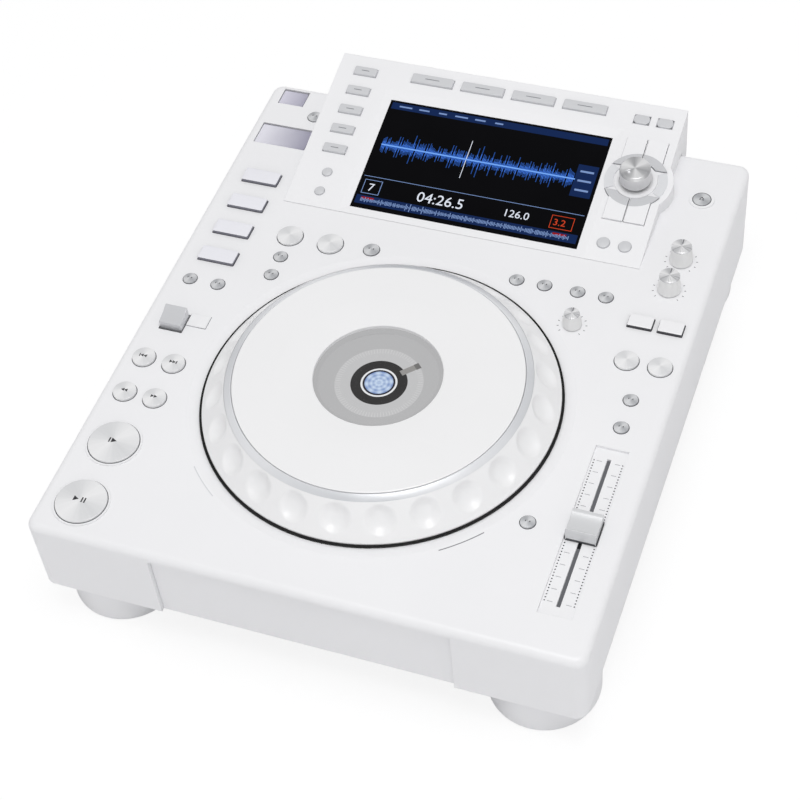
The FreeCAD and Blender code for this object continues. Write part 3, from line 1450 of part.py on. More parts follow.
def make_jog():
    """Jog wheel on its hollow shaft, over the fixed centre display and the bearing plate."""
    centre_y = back(size.jog_y)
    deck = size.deck_height
    run = size.dial_radius - size.dial_top_radius
    rise = size.dial_top - size.dial_edge
    slant = root(run * run + rise * rise)
    normal_out = rise / slant
    normal_up = run / slant
    tube_outer = size.tube_bore + size.tube_wall
    web_low = size.web_top - size.web_thickness
    inner_shift = size.dial_wall / normal_out
    inner_radius = size.dial_radius - size.dial_skirt_wall
    knee = size.dial_edge - rise * (inner_shift - size.dial_skirt_wall) / run
    web_radius = size.dial_top_radius + run * (size.dial_top - web_low) / rise - inner_shift
    dial = turned([
        (size.dial_radius, -size.dial_skirt),
        (size.dial_radius, size.dial_edge),
        (size.dial_top_radius, size.dial_top),
        (size.dial_top_radius - size.ring_step, size.dial_top),
        (size.dial_top_radius - size.ring_step, size.web_top),
        (tube_outer + size.slip_fit, size.web_top),
        (tube_outer + size.slip_fit, web_low),
        (web_radius, web_low),
        (inner_radius, knee),
        (inner_radius, -size.dial_skirt),
    ])
    doc.recompute()
    ball = dial.newObject("PartDesign::SubtractiveSphere", "dimple")
    ball.AttachmentSupport = [(origin_item(dial, "XY_Plane"), "")]
    ball.MapMode = "FlatFace"
    reach = size.dimple_radius * size.dimple_radius / size.dimple_depth / 2
    ball_radius = reach + size.dimple_depth / 2
    lift = ball_radius - size.dimple_depth
    slope_z = size.dial_edge + rise * (size.dial_radius - size.dimple_circle) / run
    bind(ball, "Radius", ball_radius)
    bind(ball, "AttachmentOffset.Base.x", size.dimple_circle + lift * normal_out)
    bind(ball, "AttachmentOffset.Base.z", slope_z + lift * normal_up)
    doc.recompute()
    ring_of_dimples = dial.newObject("PartDesign::PolarPattern", "dimples")
    ring_of_dimples.Originals = [ball]
    ring_of_dimples.Axis = (origin_item(dial, "Z_Axis"), [""])
    ring_of_dimples.Angle = 360
    bind(ring_of_dimples, "Occurrences", size.dimple_count)
    dial.Tip = ring_of_dimples
    turn(dial, (0, 0, 1), size.dimple_phase)
    node(place(dial, 0, centre_y, deck), "jog_dial")

    ring_outer = size.dial_top_radius - size.ring_step
    ring_inner = ring_outer - size.ring_width
    ring = turned([
        (ring_outer, size.web_top),
        (ring_outer, size.dial_top),
        (ring_inner, size.dial_top + size.ring_rise),
        (ring_inner, size.web_top),
    ])
    node(place(ring, 0, centre_y, deck), "jog_ring")

    plate_radius = ring_inner - size.plate_gap
    window_hole = size.window_radius + size.window_gap
    plate = turned([
        (window_hole, size.flange_top),
        (plate_radius - size.plate_rim, size.flange_top),
        (plate_radius - size.plate_rim, size.web_top),
        (plate_radius, size.web_top),
        (plate_radius, size.plate_top),
        (window_hole, size.plate_top),
    ])
    soften(plate, size.plate_gap * 1.5, circle_at(plate_radius, size.plate_top))
    node(place(plate, 0, centre_y, deck), "jog_plate")

    window = turned([
        (0, size.flange_top),
        (size.window_radius, size.flange_top),
        (size.window_radius, size.flange_top + size.window_thickness),
        (0, size.flange_top + size.window_thickness),
    ])
    node(place(window, 0, centre_y, deck), "jog_window")

    foot = size.bearing_land - size.bearing_drop
    encoder_low = foot + size.encoder_rise
    shaft = turned([
        (size.tube_bore, foot),
        (tube_outer, foot),
        (tube_outer, encoder_low),
        (size.encoder_radius, encoder_low),
        (size.encoder_radius, encoder_low + size.encoder_thickness),
        (tube_outer, encoder_low + size.encoder_thickness),
        (tube_outer, size.web_top),
        (size.shaft_flange_radius, size.web_top),
        (size.shaft_flange_radius, size.flange_top),
        (size.window_radius - size.window_lip, size.flange_top),
        (size.window_radius - size.window_lip, size.web_top),
        (size.tube_bore, size.web_top),
    ])
    node(place(shaft, 0, centre_y, deck), "jog_shaft")

    boss_radius = size.tube_bore - size.slip_fit
    display = turned([
        (0, size.boss_top),
        (size.centre_display_radius, size.boss_top),
        (size.centre_display_radius, size.boss_top + size.centre_display_thickness),
        (0, size.boss_top + size.centre_display_thickness),
    ])
    node(place(display, 0, centre_y, deck), "jog_display")

    floor = -size.bearing_drop
    bearing = turned([
        (boss_radius - size.boss_wall, floor - size.bearing_thickness),
        (size.bearing_radius, floor - size.bearing_thickness),
        (size.bearing_radius, -size.deck_thickness),
        (size.bearing_radius - size.bearing_rim, -size.deck_thickness),
        (size.bearing_radius - size.bearing_rim, floor),
        (tube_outer, floor),
        (tube_outer, foot),
        (boss_radius, foot),
        (boss_radius, size.boss_top),
        (boss_radius - size.boss_wall, size.boss_top),
    ])
    node(place(bearing, 0, centre_y, deck), "jog_bearing")


# Display unit


def tab_outline(side, end, grow, z0, z1):
    """Tab and its share of the ring, in the display unit's frame."""
    x = size.selector_x
    up = size.selector_up
    split = size.tab_split - grow
    inside_x = x + side * split
    outside_x = x + side * (size.tab_side + grow)
    wide_x = x + side * (size.ring_outer + OVERCUT)

    def span(first_x, second_x, near, far):
        lows = sorted((first_x, second_x), key=lambda item: item.value)
        heights = sorted((up + end * near, up + end * far), key=lambda item: item.value)
        return box(lows[0], lows[1], heights[0], heights[1], z0, z1)

    tab = span(inside_x, outside_x, size.tab_shoulder, size.tab_reach + grow)
    sector = span(inside_x, wide_x, size.ring_start - grow, size.ring_outer + grow)
    arc = shared(rod(x, up, z0, z1, size.ring_outer + grow), sector)
    middle = rod(x, up, z0 - OVERCUT, z1 + OVERCUT, size.ring_inner - grow)
    return cut(join(tab, arc), middle)


def make_display_buttons():
    cover = size.display_skin
    low = -(cover + size.flange_thickness)
    tabs = []
    for side in (-1, 1):
        for end in (-1, 1):
            cap = tab_outline(side, end, 0, -cover, size.tab_height)
            brim = tab_outline(side, end, size.tab_split / 2, low, -cover)
            tabs.append(join(cap, brim))
    node(tilted(*tabs), "tab_buttons")
    sources = [on_slope(square_button(size.source_width, size.source_length, size.source_height,
                                      cover), x, up) for x, up in SOURCE_SPOTS]
    node(tilted(*sources), "source_buttons")
    menus = [on_slope(square_button(size.menu_width, size.menu_length, size.menu_height, cover),
                      x, up) for x, up in MENU_SPOTS]
    node(tilted(*menus), "menu_buttons")
    height = size.display_button_height
    others = [on_slope(square_button(size.oblong_width, size.oblong_length, height, cover),
                       x, up) for x, up in OBLONG_SPOTS]
    others += [on_slope(round_button(size.tag_radius, height, cover), x, up)
               for x, up in TAG_SPOTS]
    others += [on_slope(round_button(size.time_radius, height, cover), x, up)
               for x, up in TIME_SPOTS]
    node(tilted(*others), "utility_buttons")


def display_holes():
    """Every hole of the display unit, in its own frame."""
    low = -(size.display_skin + OVERCUT)
    holes = [slope_window(size.source_width, size.source_length, x, up) for x, up in SOURCE_SPOTS]
    holes += [slope_window(size.menu_width, size.menu_length, x, up) for x, up in MENU_SPOTS]
    holes += [slope_window(size.oblong_width, size.oblong_length, x, up) for x, up in OBLONG_SPOTS]
    holes += [slope_hole(size.tag_radius, x, up) for x, up in TAG_SPOTS]
    holes += [slope_hole(size.time_radius, x, up) for x, up in TIME_SPOTS]
    for end in (-1, 1):
        sides = [tab_outline(side, end, size.button_gap, low, OVERCUT) for side in (-1, 1)]
        holes.append(join(*sides))
    shaft = size.shaft_radius + size.slip_fit
    depth = size.display_skin + size.selector_sleeve + OVERCUT
    holes.append(rod(size.selector_x, size.selector_up, -depth, OVERCUT, shaft))
    return holes


def screen_frame():
    """Tapering cut from the frame's outer edges down to the screen's edges."""
    frustum = doc.addObject("Part::Wedge", "frame")
    bind(frustum, "Ymin", -size.bevel_depth)
    bind(frustum, "Ymax", 0)
    bind(frustum, "Xmin", size.screen_left)
    bind(frustum, "Xmax", size.screen_right)
    bind(frustum, "Zmin", -size.screen_high)
    bind(frustum, "Zmax", -size.screen_low)
    bind(frustum, "X2min", size.bevel_left)
    bind(frustum, "X2max", size.bevel_right)
    bind(frustum, "Z2min", -size.bevel_high)
    bind(frustum, "Z2max", -size.bevel_low)
    turn(frustum, (1, 0, 0), 90)
    window = box(size.screen_left, size.screen_right, size.screen_low, size.screen_high,
                 -(size.display_skin + OVERCUT), OVERCUT)
    return join(frustum, window)


def make_display_unit():
    """Wedge shell over the rear of the deck, its hood, and the pieces that it carries."""
    tilt = size.display_tilt
    skin = size.display_skin
    deck = size.deck_height
    slope = tangent(tilt)
    crease = size.crease_y
    rear = size.body_depth + size.hood_reach
    top = deck + (rear - crease) * slope
    low = deck - size.hood_drop
    body_back = size.body_depth
    left = size.display_left
    right = size.display_right
    wedge = side_outline([
        (back(crease), deck),
        (back(rear), top),
        (back(rear), low),
        (back(body_back), low),
        (back(body_back), deck),
    ], left, right)
    bulge_height = size.selector_up * sine(tilt) * 3
    bulge = tilted(rod(size.selector_x, size.selector_up, -bulge_height, 0,
                       size.bulge_radius))
    above_deck = box(left, right + size.bulge_radius, back(crease), back(rear), deck,
                     top + OVERCUT)
    solid = join(wedge, shared(bulge, above_deck))

    under = skin / cosine(tilt)
    start = crease + skin / sine(tilt)
    inner_back = rear - skin
    cavity_left = left + skin
    cavity_right = right - skin
    cavity = side_outline([
        (back(start), deck),
        (back(inner_back), deck + (inner_back - crease) * slope - under),
        (back(inner_back), low - OVERCUT),
        (back(body_back + skin), low - OVERCUT),
        (back(body_back + skin), deck),
    ], cavity_left, cavity_right)
    bulge_room = tilted(rod(size.selector_x, size.selector_up, -bulge_height - OVERCUT, -skin,
                            size.bulge_radius - skin))
    room_above = box(left, right + size.bulge_radius, back(crease), back(rear),
                     deck - OVERCUT, top)
    cavity_all = join(cavity, shared(bulge_room, room_above))
    setback = size.opening_setback + size.button_gap
    lining = tilted(box(size.opening_left + size.seam_gap, size.opening_right - size.seam_gap,
                        setback / cosine(tilt), (start - crease) * 1.4, -skin, 0))
    lining_room = box(left, right, back(crease + setback), back(rear), 0, top)
    lining_part = shared(lining, lining_room)
    sleeve = tilted(rod(size.selector_x, size.selector_up, -(skin + size.selector_sleeve), -skin / 2,
                        size.selector_sleeve_radius))
    collar = tilted(rod(size.selector_x, size.selector_up, -skin / 2, size.collar_height,
                        size.ring_inner - size.button_gap - size.seam_gap))
    collar_room = tilted(rod(size.selector_x, size.selector_up, 0, OVERCUT, size.collar_low))
    shell = join(cut(solid, cavity_all), lining_part, sleeve, collar)
    holes = tilted(*display_holes(), screen_frame())
    node(cut(shell, holes, collar_room), "display_housing")

    depth = size.bevel_depth + size.glass_setback
    fit = size.slip_fit
    glass = box(size.screen_left + fit, size.screen_right - fit, size.screen_low + fit,
                size.screen_high - fit, -skin - OVERCUT, -depth)
    margin = size.module_margin
    module = box(size.screen_left - margin, size.screen_right + margin,
                 size.screen_low - margin, size.screen_high + margin,
                 -skin - size.module_thickness, -skin)
    node(on_display(join(glass, module)), "screen_panel")
    make_selector()
    make_display_buttons()


def make_selector():
    """Selector: a shaft that pushes in, and the knob that turns on it."""
    knob_low = size.selector_rise
    knob_top = size.selector_height
    collar_top = -(size.display_skin + size.selector_sleeve)
    collar_low = collar_top - size.flange_thickness
    shaft_top = knob_top - 2.5
    shaft = turned([
        (0, collar_low - size.shaft_tail),
        (size.shaft_radius, collar_low - size.shaft_tail),
        (size.shaft_radius, collar_low),
        (size.shaft_radius + size.flange_width, collar_low),
        (size.shaft_radius + size.flange_width, collar_top),
        (size.shaft_radius, collar_top),
        (size.shaft_radius, shaft_top),
        (0, shaft_top),
    ])
    node(on_display(shaft, size.selector_x, size.selector_up), "selector_shaft")
    bore = size.shaft_radius + size.slip_fit
    radius = size.selector_radius
    knob = turned([
        (bore, knob_low),
        (radius, knob_low),
        (radius, knob_top - size.selector_crown),
        (radius - size.selector_crown, knob_top),
        (0, knob_top),
        (0, shaft_top),
        (bore, shaft_top),
    ])
    doc.recompute()
    ball = knob.newObject("PartDesign::SubtractiveSphere", "dimple")
    ball.AttachmentSupport = [(origin_item(knob, "XY_Plane"), "")]
    ball.MapMode = "FlatFace"
    bind(ball, "Radius", size.selector_dimple_radius * 2)
    bind(ball, "AttachmentOffset.Base.x", -size.selector_dimple_offset / 2)
    bind(ball, "AttachmentOffset.Base.y", size.selector_dimple_offset * 0.8)
    bind(ball, "AttachmentOffset.Base.z", knob_top + size.selector_dimple_radius * 1.73)
    node(on_display(knob, size.selector_x, size.selector_up), "selector_knob")


make_top_cover()
make_front_panel()
make_bottom_plate()
make_rear_panel()
make_screws()
make_feet()
make_drive()
make_boards()
make_jog()
make_slider()
make_knobs()
make_lever()
for flap in FLAPS:
    make_flap(*flap)
make_ports()
make_deck_buttons()
make_display_unit()
doc.recompute()

for item in doc.Objects:
    if "Invalid" in item.State or "Error" in item.State:
        raise RuntimeError(f"{item.Name} ({item.Label}) could not be made: {item.State}")
for label, target in nodes:
    shape = target.Shape
    if shape.isNull() or not shape.isValid() or not shape.Solids:
        raise RuntimeError(f"{label} has no valid solid")

os.makedirs("parts", exist_ok=True)
for label, target in nodes:
    target.Shape.exportStep(f"parts/{label}.step")
print(f"{len(nodes)} sub-parts written")
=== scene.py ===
"""Looks of the tabletop disc player. Laid out as an add-on and run as a script."""

import json
import math

import bmesh
import bpy
from mathutils import Matrix, Vector

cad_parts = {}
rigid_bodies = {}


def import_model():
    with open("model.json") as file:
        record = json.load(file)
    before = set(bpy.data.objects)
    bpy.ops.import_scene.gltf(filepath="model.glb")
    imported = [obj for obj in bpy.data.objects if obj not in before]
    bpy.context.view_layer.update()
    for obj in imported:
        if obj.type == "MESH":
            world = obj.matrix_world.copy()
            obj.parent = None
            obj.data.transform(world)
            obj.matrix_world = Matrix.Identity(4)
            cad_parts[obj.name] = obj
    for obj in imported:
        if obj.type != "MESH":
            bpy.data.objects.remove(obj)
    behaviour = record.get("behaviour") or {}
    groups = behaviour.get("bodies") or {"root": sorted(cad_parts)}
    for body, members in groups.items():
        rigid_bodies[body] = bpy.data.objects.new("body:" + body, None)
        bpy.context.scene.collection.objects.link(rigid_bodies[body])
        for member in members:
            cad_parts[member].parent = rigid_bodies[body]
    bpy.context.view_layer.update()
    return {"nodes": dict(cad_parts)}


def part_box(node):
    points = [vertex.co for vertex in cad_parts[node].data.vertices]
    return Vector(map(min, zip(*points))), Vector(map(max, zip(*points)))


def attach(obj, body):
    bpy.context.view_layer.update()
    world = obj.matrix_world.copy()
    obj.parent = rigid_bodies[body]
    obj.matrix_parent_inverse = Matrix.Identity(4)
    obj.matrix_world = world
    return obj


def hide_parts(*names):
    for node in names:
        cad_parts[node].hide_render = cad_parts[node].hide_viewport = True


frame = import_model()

bl_info = {
    "name": "Tabletop disc player",
    "version": (1, 0, 0),
    "blender": (4, 5, 0),
    "location": "3D View > Sidebar > Player",
    "description": "Builds the visible pieces of a tabletop disc player round its packed frame",
    "category": "Object",
}

MM = 0.001
HALF_DEPTH = 196.25
DECK = 82.5
CREASE = 275.0
TILT = 11.45
JOG_BACK = 140.0
SLIDER_X = 136.4
SLIDER_BACK = 82.3
TRAVEL = 48.0
SELECTOR = (97.5, 61.6)
LEVER = (-139.0, 162.0)
WHEEL_RADIUS = 103.0
BASE_FRONT = 28.8
BASE_FALL = 14.2
BASE_LENGTH = 379.4
REAR_PANEL = 376.4
REAR_SCREWS = 379.4
SOCKET_HEIGHT = 50.0
WINDOW_RADIUS = 36.9
# Middle tone that the painted sheen of spun faces fades to near their centre.
PAINTED_SHEEN_MIDDLE = 0.62
FLANGE = 1.2
FLANGE_THICKNESS = 1.0
CHASSIS = "chassis"
WHEEL = "jog_wheel"


# Settings


class PlayerSizes(bpy.types.PropertyGroup):
    """Sizes that a user may change."""

    edge: bpy.props.FloatProperty(
        name="Edge rounding", description="Rounding of caps and keys in millimetres", default=0.5)
    # The dark gap is painted shade: the width of a dark ring laid round each button.
    outline: bpy.props.FloatProperty(
        name="Dark gap", description="Width of the dark gap round a button in millimetres",
        default=0.42)
    dimples: bpy.props.IntProperty(
        name="Dimples", description="Finger dimples round the wheel", default=24)
    dimple_depth: bpy.props.FloatProperty(
        name="Dimple depth", description="Depth of a finger dimple", default=0.003,
        subtype="DISTANCE", unit="LENGTH")
    dimple_radius: bpy.props.FloatProperty(
        name="Dimple radius", description="Radius of a finger dimple", default=0.0088,
        subtype="DISTANCE", unit="LENGTH")
    tick_count: bpy.props.IntProperty(
        name="Tempo ticks", description="Ticks on each side of the tempo slot", default=49)
    wave_count: bpy.props.IntProperty(
        name="Wave bars", description="Bars of the wave on the screen", default=150)


def colour_setting(label, text, red, green, blue):
    return bpy.props.FloatVectorProperty(
        name=label, description=text, default=tone(red, green, blue)[:3], subtype="COLOR", size=3,
        min=0, max=1)


def tone(red, green, blue):
    """Turns screen values from 0 to 255 into a shader colour."""
    levels = [value / 255 for value in (red, green, blue)]
    linear = [value / 12.92 if value < 0.04 else ((value + 0.055) / 1.055) ** 2.4
              for value in levels]
    return (*linear, 1.0)


class PlayerColours(bpy.types.PropertyGroup):
    """Colours that a user may change."""

    shell: colour_setting("Shell", "Satin body", 240, 240, 242)
    dial: colour_setting("Dial", "Jog dial", 240, 240, 241)
    plate: colour_setting("Plate", "Plate of the jog wheel", 240, 240, 241)
    # Ring, pearl and silver are the light tones of spun finishes, which also paint their highlight
    # sectors; pearl shade and silver shade are painted shade tones.
    ring: colour_setting("Ring", "Silver ring of the jog wheel", 234, 235, 238)
    foot: colour_setting("Feet", "Silver feet", 236, 236, 238)
    pearl: colour_setting("Pearl", "Light tone of the spun buttons", 240, 240, 241)
    pearl_painted_shade: colour_setting("Pearl shade", "Dark tone of the spun buttons", 210, 211, 213)
    silver: colour_setting("Silver", "Light tone of the small buttons", 218, 219, 221)
    silver_painted_shade: colour_setting("Silver shade", "Dark tone of the small buttons", 160, 162, 166)
    pad: colour_setting("Pads", "Pale pads", 236, 236, 242)
    key: colour_setting("Keys", "Grey keys of the display unit", 206, 207, 210)
    wave: colour_setting("Wave", "Wave on the screen", 66, 120, 224)


# Node sums


def sum_of(operation, reflected=False):
    """Method of Wire that adds one sum node. Reflected, it takes its two values the other way."""
    if reflected:
        return lambda self, other: self.tree.sum(operation, other, self)
    return lambda self, other: self.tree.sum(operation, self, other)


class Wire:
    """Output of a node that can be used in sums. Each sum adds its node."""

    __add__ = sum_of("ADD")
    __radd__ = sum_of("ADD", True)
    __sub__ = sum_of("SUBTRACT")
    __rsub__ = sum_of("SUBTRACT", True)
    __mul__ = sum_of("MULTIPLY")
    __rmul__ = sum_of("MULTIPLY", True)
    __truediv__ = sum_of("DIVIDE")
    __rtruediv__ = sum_of("DIVIDE", True)

    def __init__(self, tree, socket):
        self.tree = tree
        self.socket = socket


class Tree:
    """Node tree with one method that adds any node."""

    def __init__(self, tree):
        self.tree = tree
        tree.nodes.clear()

    def node(self, kind, settings=None, inputs=None, output=0):
        made = self.tree.nodes.new(kind)
        for name, value in (settings or {}).items():
            if name == "stops":
                self.set_stops(made.color_ramp, value)
            else:
                setattr(made, name, value)
        for name, value in (inputs or {}).items():
            self.feed(made.inputs[name], value)
        return Wire(self, made.outputs[output])

    def feed(self, socket, value):
        if isinstance(value, Wire):
            self.tree.links.new(value.socket, socket)
        else:
            socket.default_value = value

    def set_stops(self, ramp, stops):
        while len(ramp.elements) < len(stops):
            ramp.elements.new(1.0)
        for element, (position, colour) in zip(ramp.elements, stops):
            element.position = position
            element.color = colour

    def sum(self, operation, *values):
        return self.node("ShaderNodeMath", {"operation": operation}, dict(enumerate(values)))

    def split(self, vector):
        made = self.tree.nodes.new("ShaderNodeSeparateXYZ")
        self.feed(made.inputs[0], vector)
        return [Wire(self, socket) for socket in made.outputs]

    def joined(self, x, y, z):
        return self.node("ShaderNodeCombineXYZ", None, {0: x, 1: y, 2: z})


class Finish(Tree):
    """Material of one surface."""

    def __init__(self, name, constants):
        self.material = bpy.data.materials.new(name)
        self.material.use_nodes = True
        super().__init__(self.material.node_tree)
        self.shader = self.tree.nodes.new("ShaderNodeBsdfPrincipled")
        for socket, value in constants.items():
            self.shader.inputs[socket].default_value = value
        self.end = self.tree.nodes.new("ShaderNodeOutputMaterial")
        self.tree.links.new(self.shader.outputs[0], self.end.inputs[0])

    def place(self, source="Object"):
        return self.node("ShaderNodeTexCoord", None, None, source)

    def noise(self, scale, detail=2.0, vector=None):
        return self.node("ShaderNodeTexNoise", None, {
            "Vector": vector or self.place(), "Scale": scale, "Detail": detail})

    def blend(self, factor, first, second):
        made = self.tree.nodes.new("ShaderNodeMix")
        made.data_type = "RGBA"
        self.feed(made.inputs[0], factor)
        self.feed(made.inputs[6], first)
        self.feed(made.inputs[7], second)
        return Wire(self, made.outputs[2])

    def bump(self, height, strength, distance, normal=None):
        inputs = {"Height": height, "Strength": strength, "Distance": distance}
        if normal:
            inputs["Normal"] = normal
        bumped = self.node("ShaderNodeBump", None, inputs)
        self.feed(self.shader.inputs["Normal"], bumped)

    def wear(self, **sockets):
        for name, value in sockets.items():
            self.feed(self.shader.inputs[name.replace("_", " ")], value)
        return self.material


def scaled(colour, factor):
    return (*[min(1.0, value * factor) for value in colour[:3]], 1.0)


def satin(name, colour, roughness=0.42, grain=2600, depth=0.00004, spread=0.02, metal=0.0,
          coat=0.0, soft_edge=0.0):
    """Moulded or painted surface with a fine grain and a faint unevenness."""
    finish = Finish(name, {"Metallic": metal, "Coat Weight": coat, "Coat Roughness": 0.2})
    broad = finish.noise(14, 3.0)
    fine = finish.noise(grain, 2.0)
    finish.wear(
        Base_Color=finish.blend(broad, scaled(colour, 1 - spread), scaled(colour, 1 + spread)),
        Roughness=roughness - 0.05 + fine * 0.07 + broad * 0.04)
    edge = None
    if soft_edge:
        edge = finish.node("ShaderNodeBevel", {"samples": 4}, {"Radius": soft_edge * MM})
    finish.bump(fine, 0.25, depth, edge)
    return finish.material


def brushed(name, colour, roughness=0.34, stretch=(4, 900, 900), metal=1.0):
    """Sheet metal with a rolled grain along x."""
    finish = Finish(name, {"Metallic": metal})
    lines = finish.node("ShaderNodeMapping", None, {"Vector": finish.place(), "Scale": stretch})
    grain = finish.noise(3.0, 3.0, lines)
    broad = finish.noise(18, 2.0)
    finish.wear(
        Base_Color=finish.blend(broad, scaled(colour, 0.93), scaled(colour, 1.05)),
        Roughness=roughness - 0.08 + grain * 0.16)
    finish.bump(grain, 0.15, 0.00003)
    return finish.material


def spun(name, light, dark, roughness=0.3, metal=0.35, turns=26.0, sectors=2.0, phase=0.9,
         coat=0.3):
    """Turned face: rings of fine grooves, and a painted reflection: broad sectors and streaks of
    painted highlight and painted shade round its middle, blended from the light and the dark tone.
    """
    finish = Finish(name, {"Metallic": metal, "Coat Weight": coat, "Coat Roughness": 0.12})
    across, along, _ = finish.split(finish.place("UV"))
    angle = finish.sum("ARCTAN2", along, across)
    radius = finish.sum("SQRT", across * across + along * along)
    circle = finish.joined(finish.sum("COSINE", angle), finish.sum("SINE", angle), 0.0)
    streaks = finish.noise(5.0, 4.0, circle)
    # Painted reflection: cosine sectors and angular streaks pick between the light and the dark tone,
    # as painted highlight and painted shade.
    broad = finish.sum("COSINE", (angle - phase) * sectors) * 0.5 + 0.5
    painted_sheen = broad * 0.72 + streaks * 0.42
    fade = finish.node("ShaderNodeMapRange", None, {"Value": radius, "From Max": 0.16})
    factor = PAINTED_SHEEN_MIDDLE + (painted_sheen - PAINTED_SHEEN_MIDDLE) * fade
    factor.socket.node.use_clamp = True
    grooves = finish.sum("SINE", radius * (turns * math.tau))
    finish.wear(Base_Color=finish.blend(factor, dark, light),
                Roughness=roughness + streaks * 0.1 - 0.05)
    finish.bump(grooves, 0.12, 0.00002)
    return finish.material


def clear(name, tint, alpha):
    """Clear moulding with faint haze."""
    finish = Finish(name, {"Roughness": 0.06, "Specular IOR Level": 0.12})
    haze = finish.noise(60, 2.0)
    finish.wear(
        Base_Color=finish.blend(haze, scaled(tint, 0.96), tint),
        Alpha=alpha + haze * 0.01)
    finish.material.surface_render_method = "BLENDED"
    return finish.material


def glowing(name, colour, strength=1.0, spread=0.12):
    """Part that glows by emission alone over a black base: lit parts of a display, and painted glow
    on the jog shaft and the slider unit, which are no lamps.
    """
    finish = Finish(name, {"Specular IOR Level": 0.0, "Emission Strength": strength})
    dots = finish.noise(2400, 1.0)
    mixed = finish.blend(dots, scaled(colour, 1 - spread), scaled(colour, 1 + spread))
    finish.wear(Base_Color=(0.0, 0.0, 0.0, 1.0), Emission_Color=mixed)
    return finish.material


# Solid pieces in millimetres


def circle(radius, segments=72):
    return [(radius * math.cos(math.tau * step / segments),
             radius * math.sin(math.tau * step / segments)) for step in range(segments)]


def rounded(width, length, corner, steps=5):
    """Rounded rectangle, counterclockwise."""
    corner = max(0.02, min(corner, width / 2 - 0.01, length / 2 - 0.01))
    points = []
    for turn, (side, end) in enumerate(((1, 1), (-1, 1), (-1, -1), (1, -1))):
        for step in range(steps + 1):
            angle = math.radians(90 * (turn + step / steps))
            points.append((side * (width / 2 - corner) + corner * math.cos(angle),
                           end * (length / 2 - corner) + corner * math.sin(angle)))
    return points


def bend(steps=4, turn=90.0):
    """Inset and drop of each point along a rounded edge of radius one, from side to top."""
    angles = [math.radians(turn * step / steps) for step in range(steps + 1)]
    return [(1 - math.cos(angle), 1 - math.sin(angle)) for angle in angles]


def sector(inner, outer, start, end, steps=18):
    """Piece of a flat ring between two angles in degrees."""
    angles = [math.radians(start + (end - start) * step / steps) for step in range(steps + 1)]
    near = [(inner * math.cos(angle), inner * math.sin(angle)) for angle in reversed(angles)]
    return near + [(outer * math.cos(angle), outer * math.sin(angle)) for angle in angles]


def at(points, height):
    """Points of an outline at a height, which is a number or a function of x and y."""
    if callable(height):
        return [(x, y, height(x, y)) for x, y in points]
    return [(x, y, height) for x, y in points]


class Shape:
    """Mesh in the making. Its numbers are millimetres, and each part has its own place."""

    def __init__(self):
        self.mesh = bmesh.new()
        self.uv = self.mesh.loops.layers.uv.new("face")

    def skin(self, place, loops, reach=1.0, finish=0, ring=False):
        """Closed skin over loops of points, from its lower middle out and up to its upper middle."""
        rows = []
        flat = {}
        for loop in loops:
            row = []
            for x, y, z in loop:
                vert = self.mesh.verts.new(place @ Vector((x, y, z)))
                flat[vert] = (x / reach, y / reach)
                row.append(vert)
            rows.append(row)
        faces = []
        pairs = list(zip(rows, rows[1:]))
        if ring:
            pairs.append((rows[-1], rows[0]))
        for lower, upper in pairs:
            for index, vert in enumerate(lower):
                after = (index + 1) % len(lower)
                faces.append(self.mesh.faces.new((vert, lower[after], upper[after], upper[index])))
        if not ring:
            for row, order in ((rows[0], -1), (rows[-1], 1)):
                faces.append(self.mesh.faces.new(row[::order]))
        for face in faces:
            face.material_index = finish
            for loop in face.loops:
                loop[self.uv].uv = flat[loop.vert]
        return faces

    def lathe(self, place, rows, segments=72, reach=None, finish=0, ring=False):
        """Turned part from rows of radius and height."""
        reach = reach or max(radius for radius, _ in rows)
        loops = [at(circle(radius, segments), height) for radius, height in rows]
        return self.skin(place, loops, reach, finish, ring)

    def prism(self, place, points, low, high, finish=0):
        return self.skin(place, [at(points, low), at(points, high)], 10.0, finish)

    def frame(self, place, inner, outer, low, high, finish=0):
        """Flat ring between two outlines with as many points."""
        loops = [at(inner, low), at(outer, low), at(outer, high), at(inner, high)]
        return self.skin(place, loops, 10.0, finish, True)

    def data(self, name):
        """Mesh data in metres."""
        bmesh.ops.scale(self.mesh, vec=(MM, MM, MM), verts=self.mesh.verts)
        bmesh.ops.recalc_face_normals(self.mesh, faces=self.mesh.faces)
        data = bpy.data.meshes.new(name)
        self.mesh.to_mesh(data)
        self.mesh.free()
        return data

    def make(self, name, finishes, body, stands_for=(), sharp=38, bevel=0.0):
        """Turns the mesh into a piece that rides on a body."""
        settle(name, self.data(name), finishes, body, stands_for, sharp, bevel)


def settle(name, data, finishes, body, stands_for=(), sharp=38, bevel=0.0):
    """Links a finished mesh as a piece, and says what it rides on and stands for."""
    for finish in finishes:
        data.materials.append(finish)
    data.shade_smooth()
    data.set_sharp_from_angle(angle=math.radians(sharp))
    piece = bpy.data.objects.new(name, data)
    bpy.context.scene.collection.objects.link(piece)
    if bevel:
        soft = piece.modifiers.new("soft edges", "BEVEL")
        soft.width = bevel * MM
        soft.segments = 3
        soft.limit_method = "ANGLE"
        soft.angle_limit = math.radians(32)
    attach(piece, body)
    if stands_for:
        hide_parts(*stands_for)


def shift(x, y, z=0.0):
    return Matrix.Translation((x, y, z))


def turned(degrees, axis):
    return Matrix.Rotation(math.radians(degrees), 4, axis)


def put(data, place):
    """Moves a mesh in metres to a place in millimetres."""
    scale = Matrix.Scale(MM, 4)
    data.transform(scale @ place @ scale.inverted())


def deck(x, distance, rise=0.0):
    """Place on the deck, by its distance from the front face."""
    return shift(x, distance - HALF_DEPTH, DECK + rise)


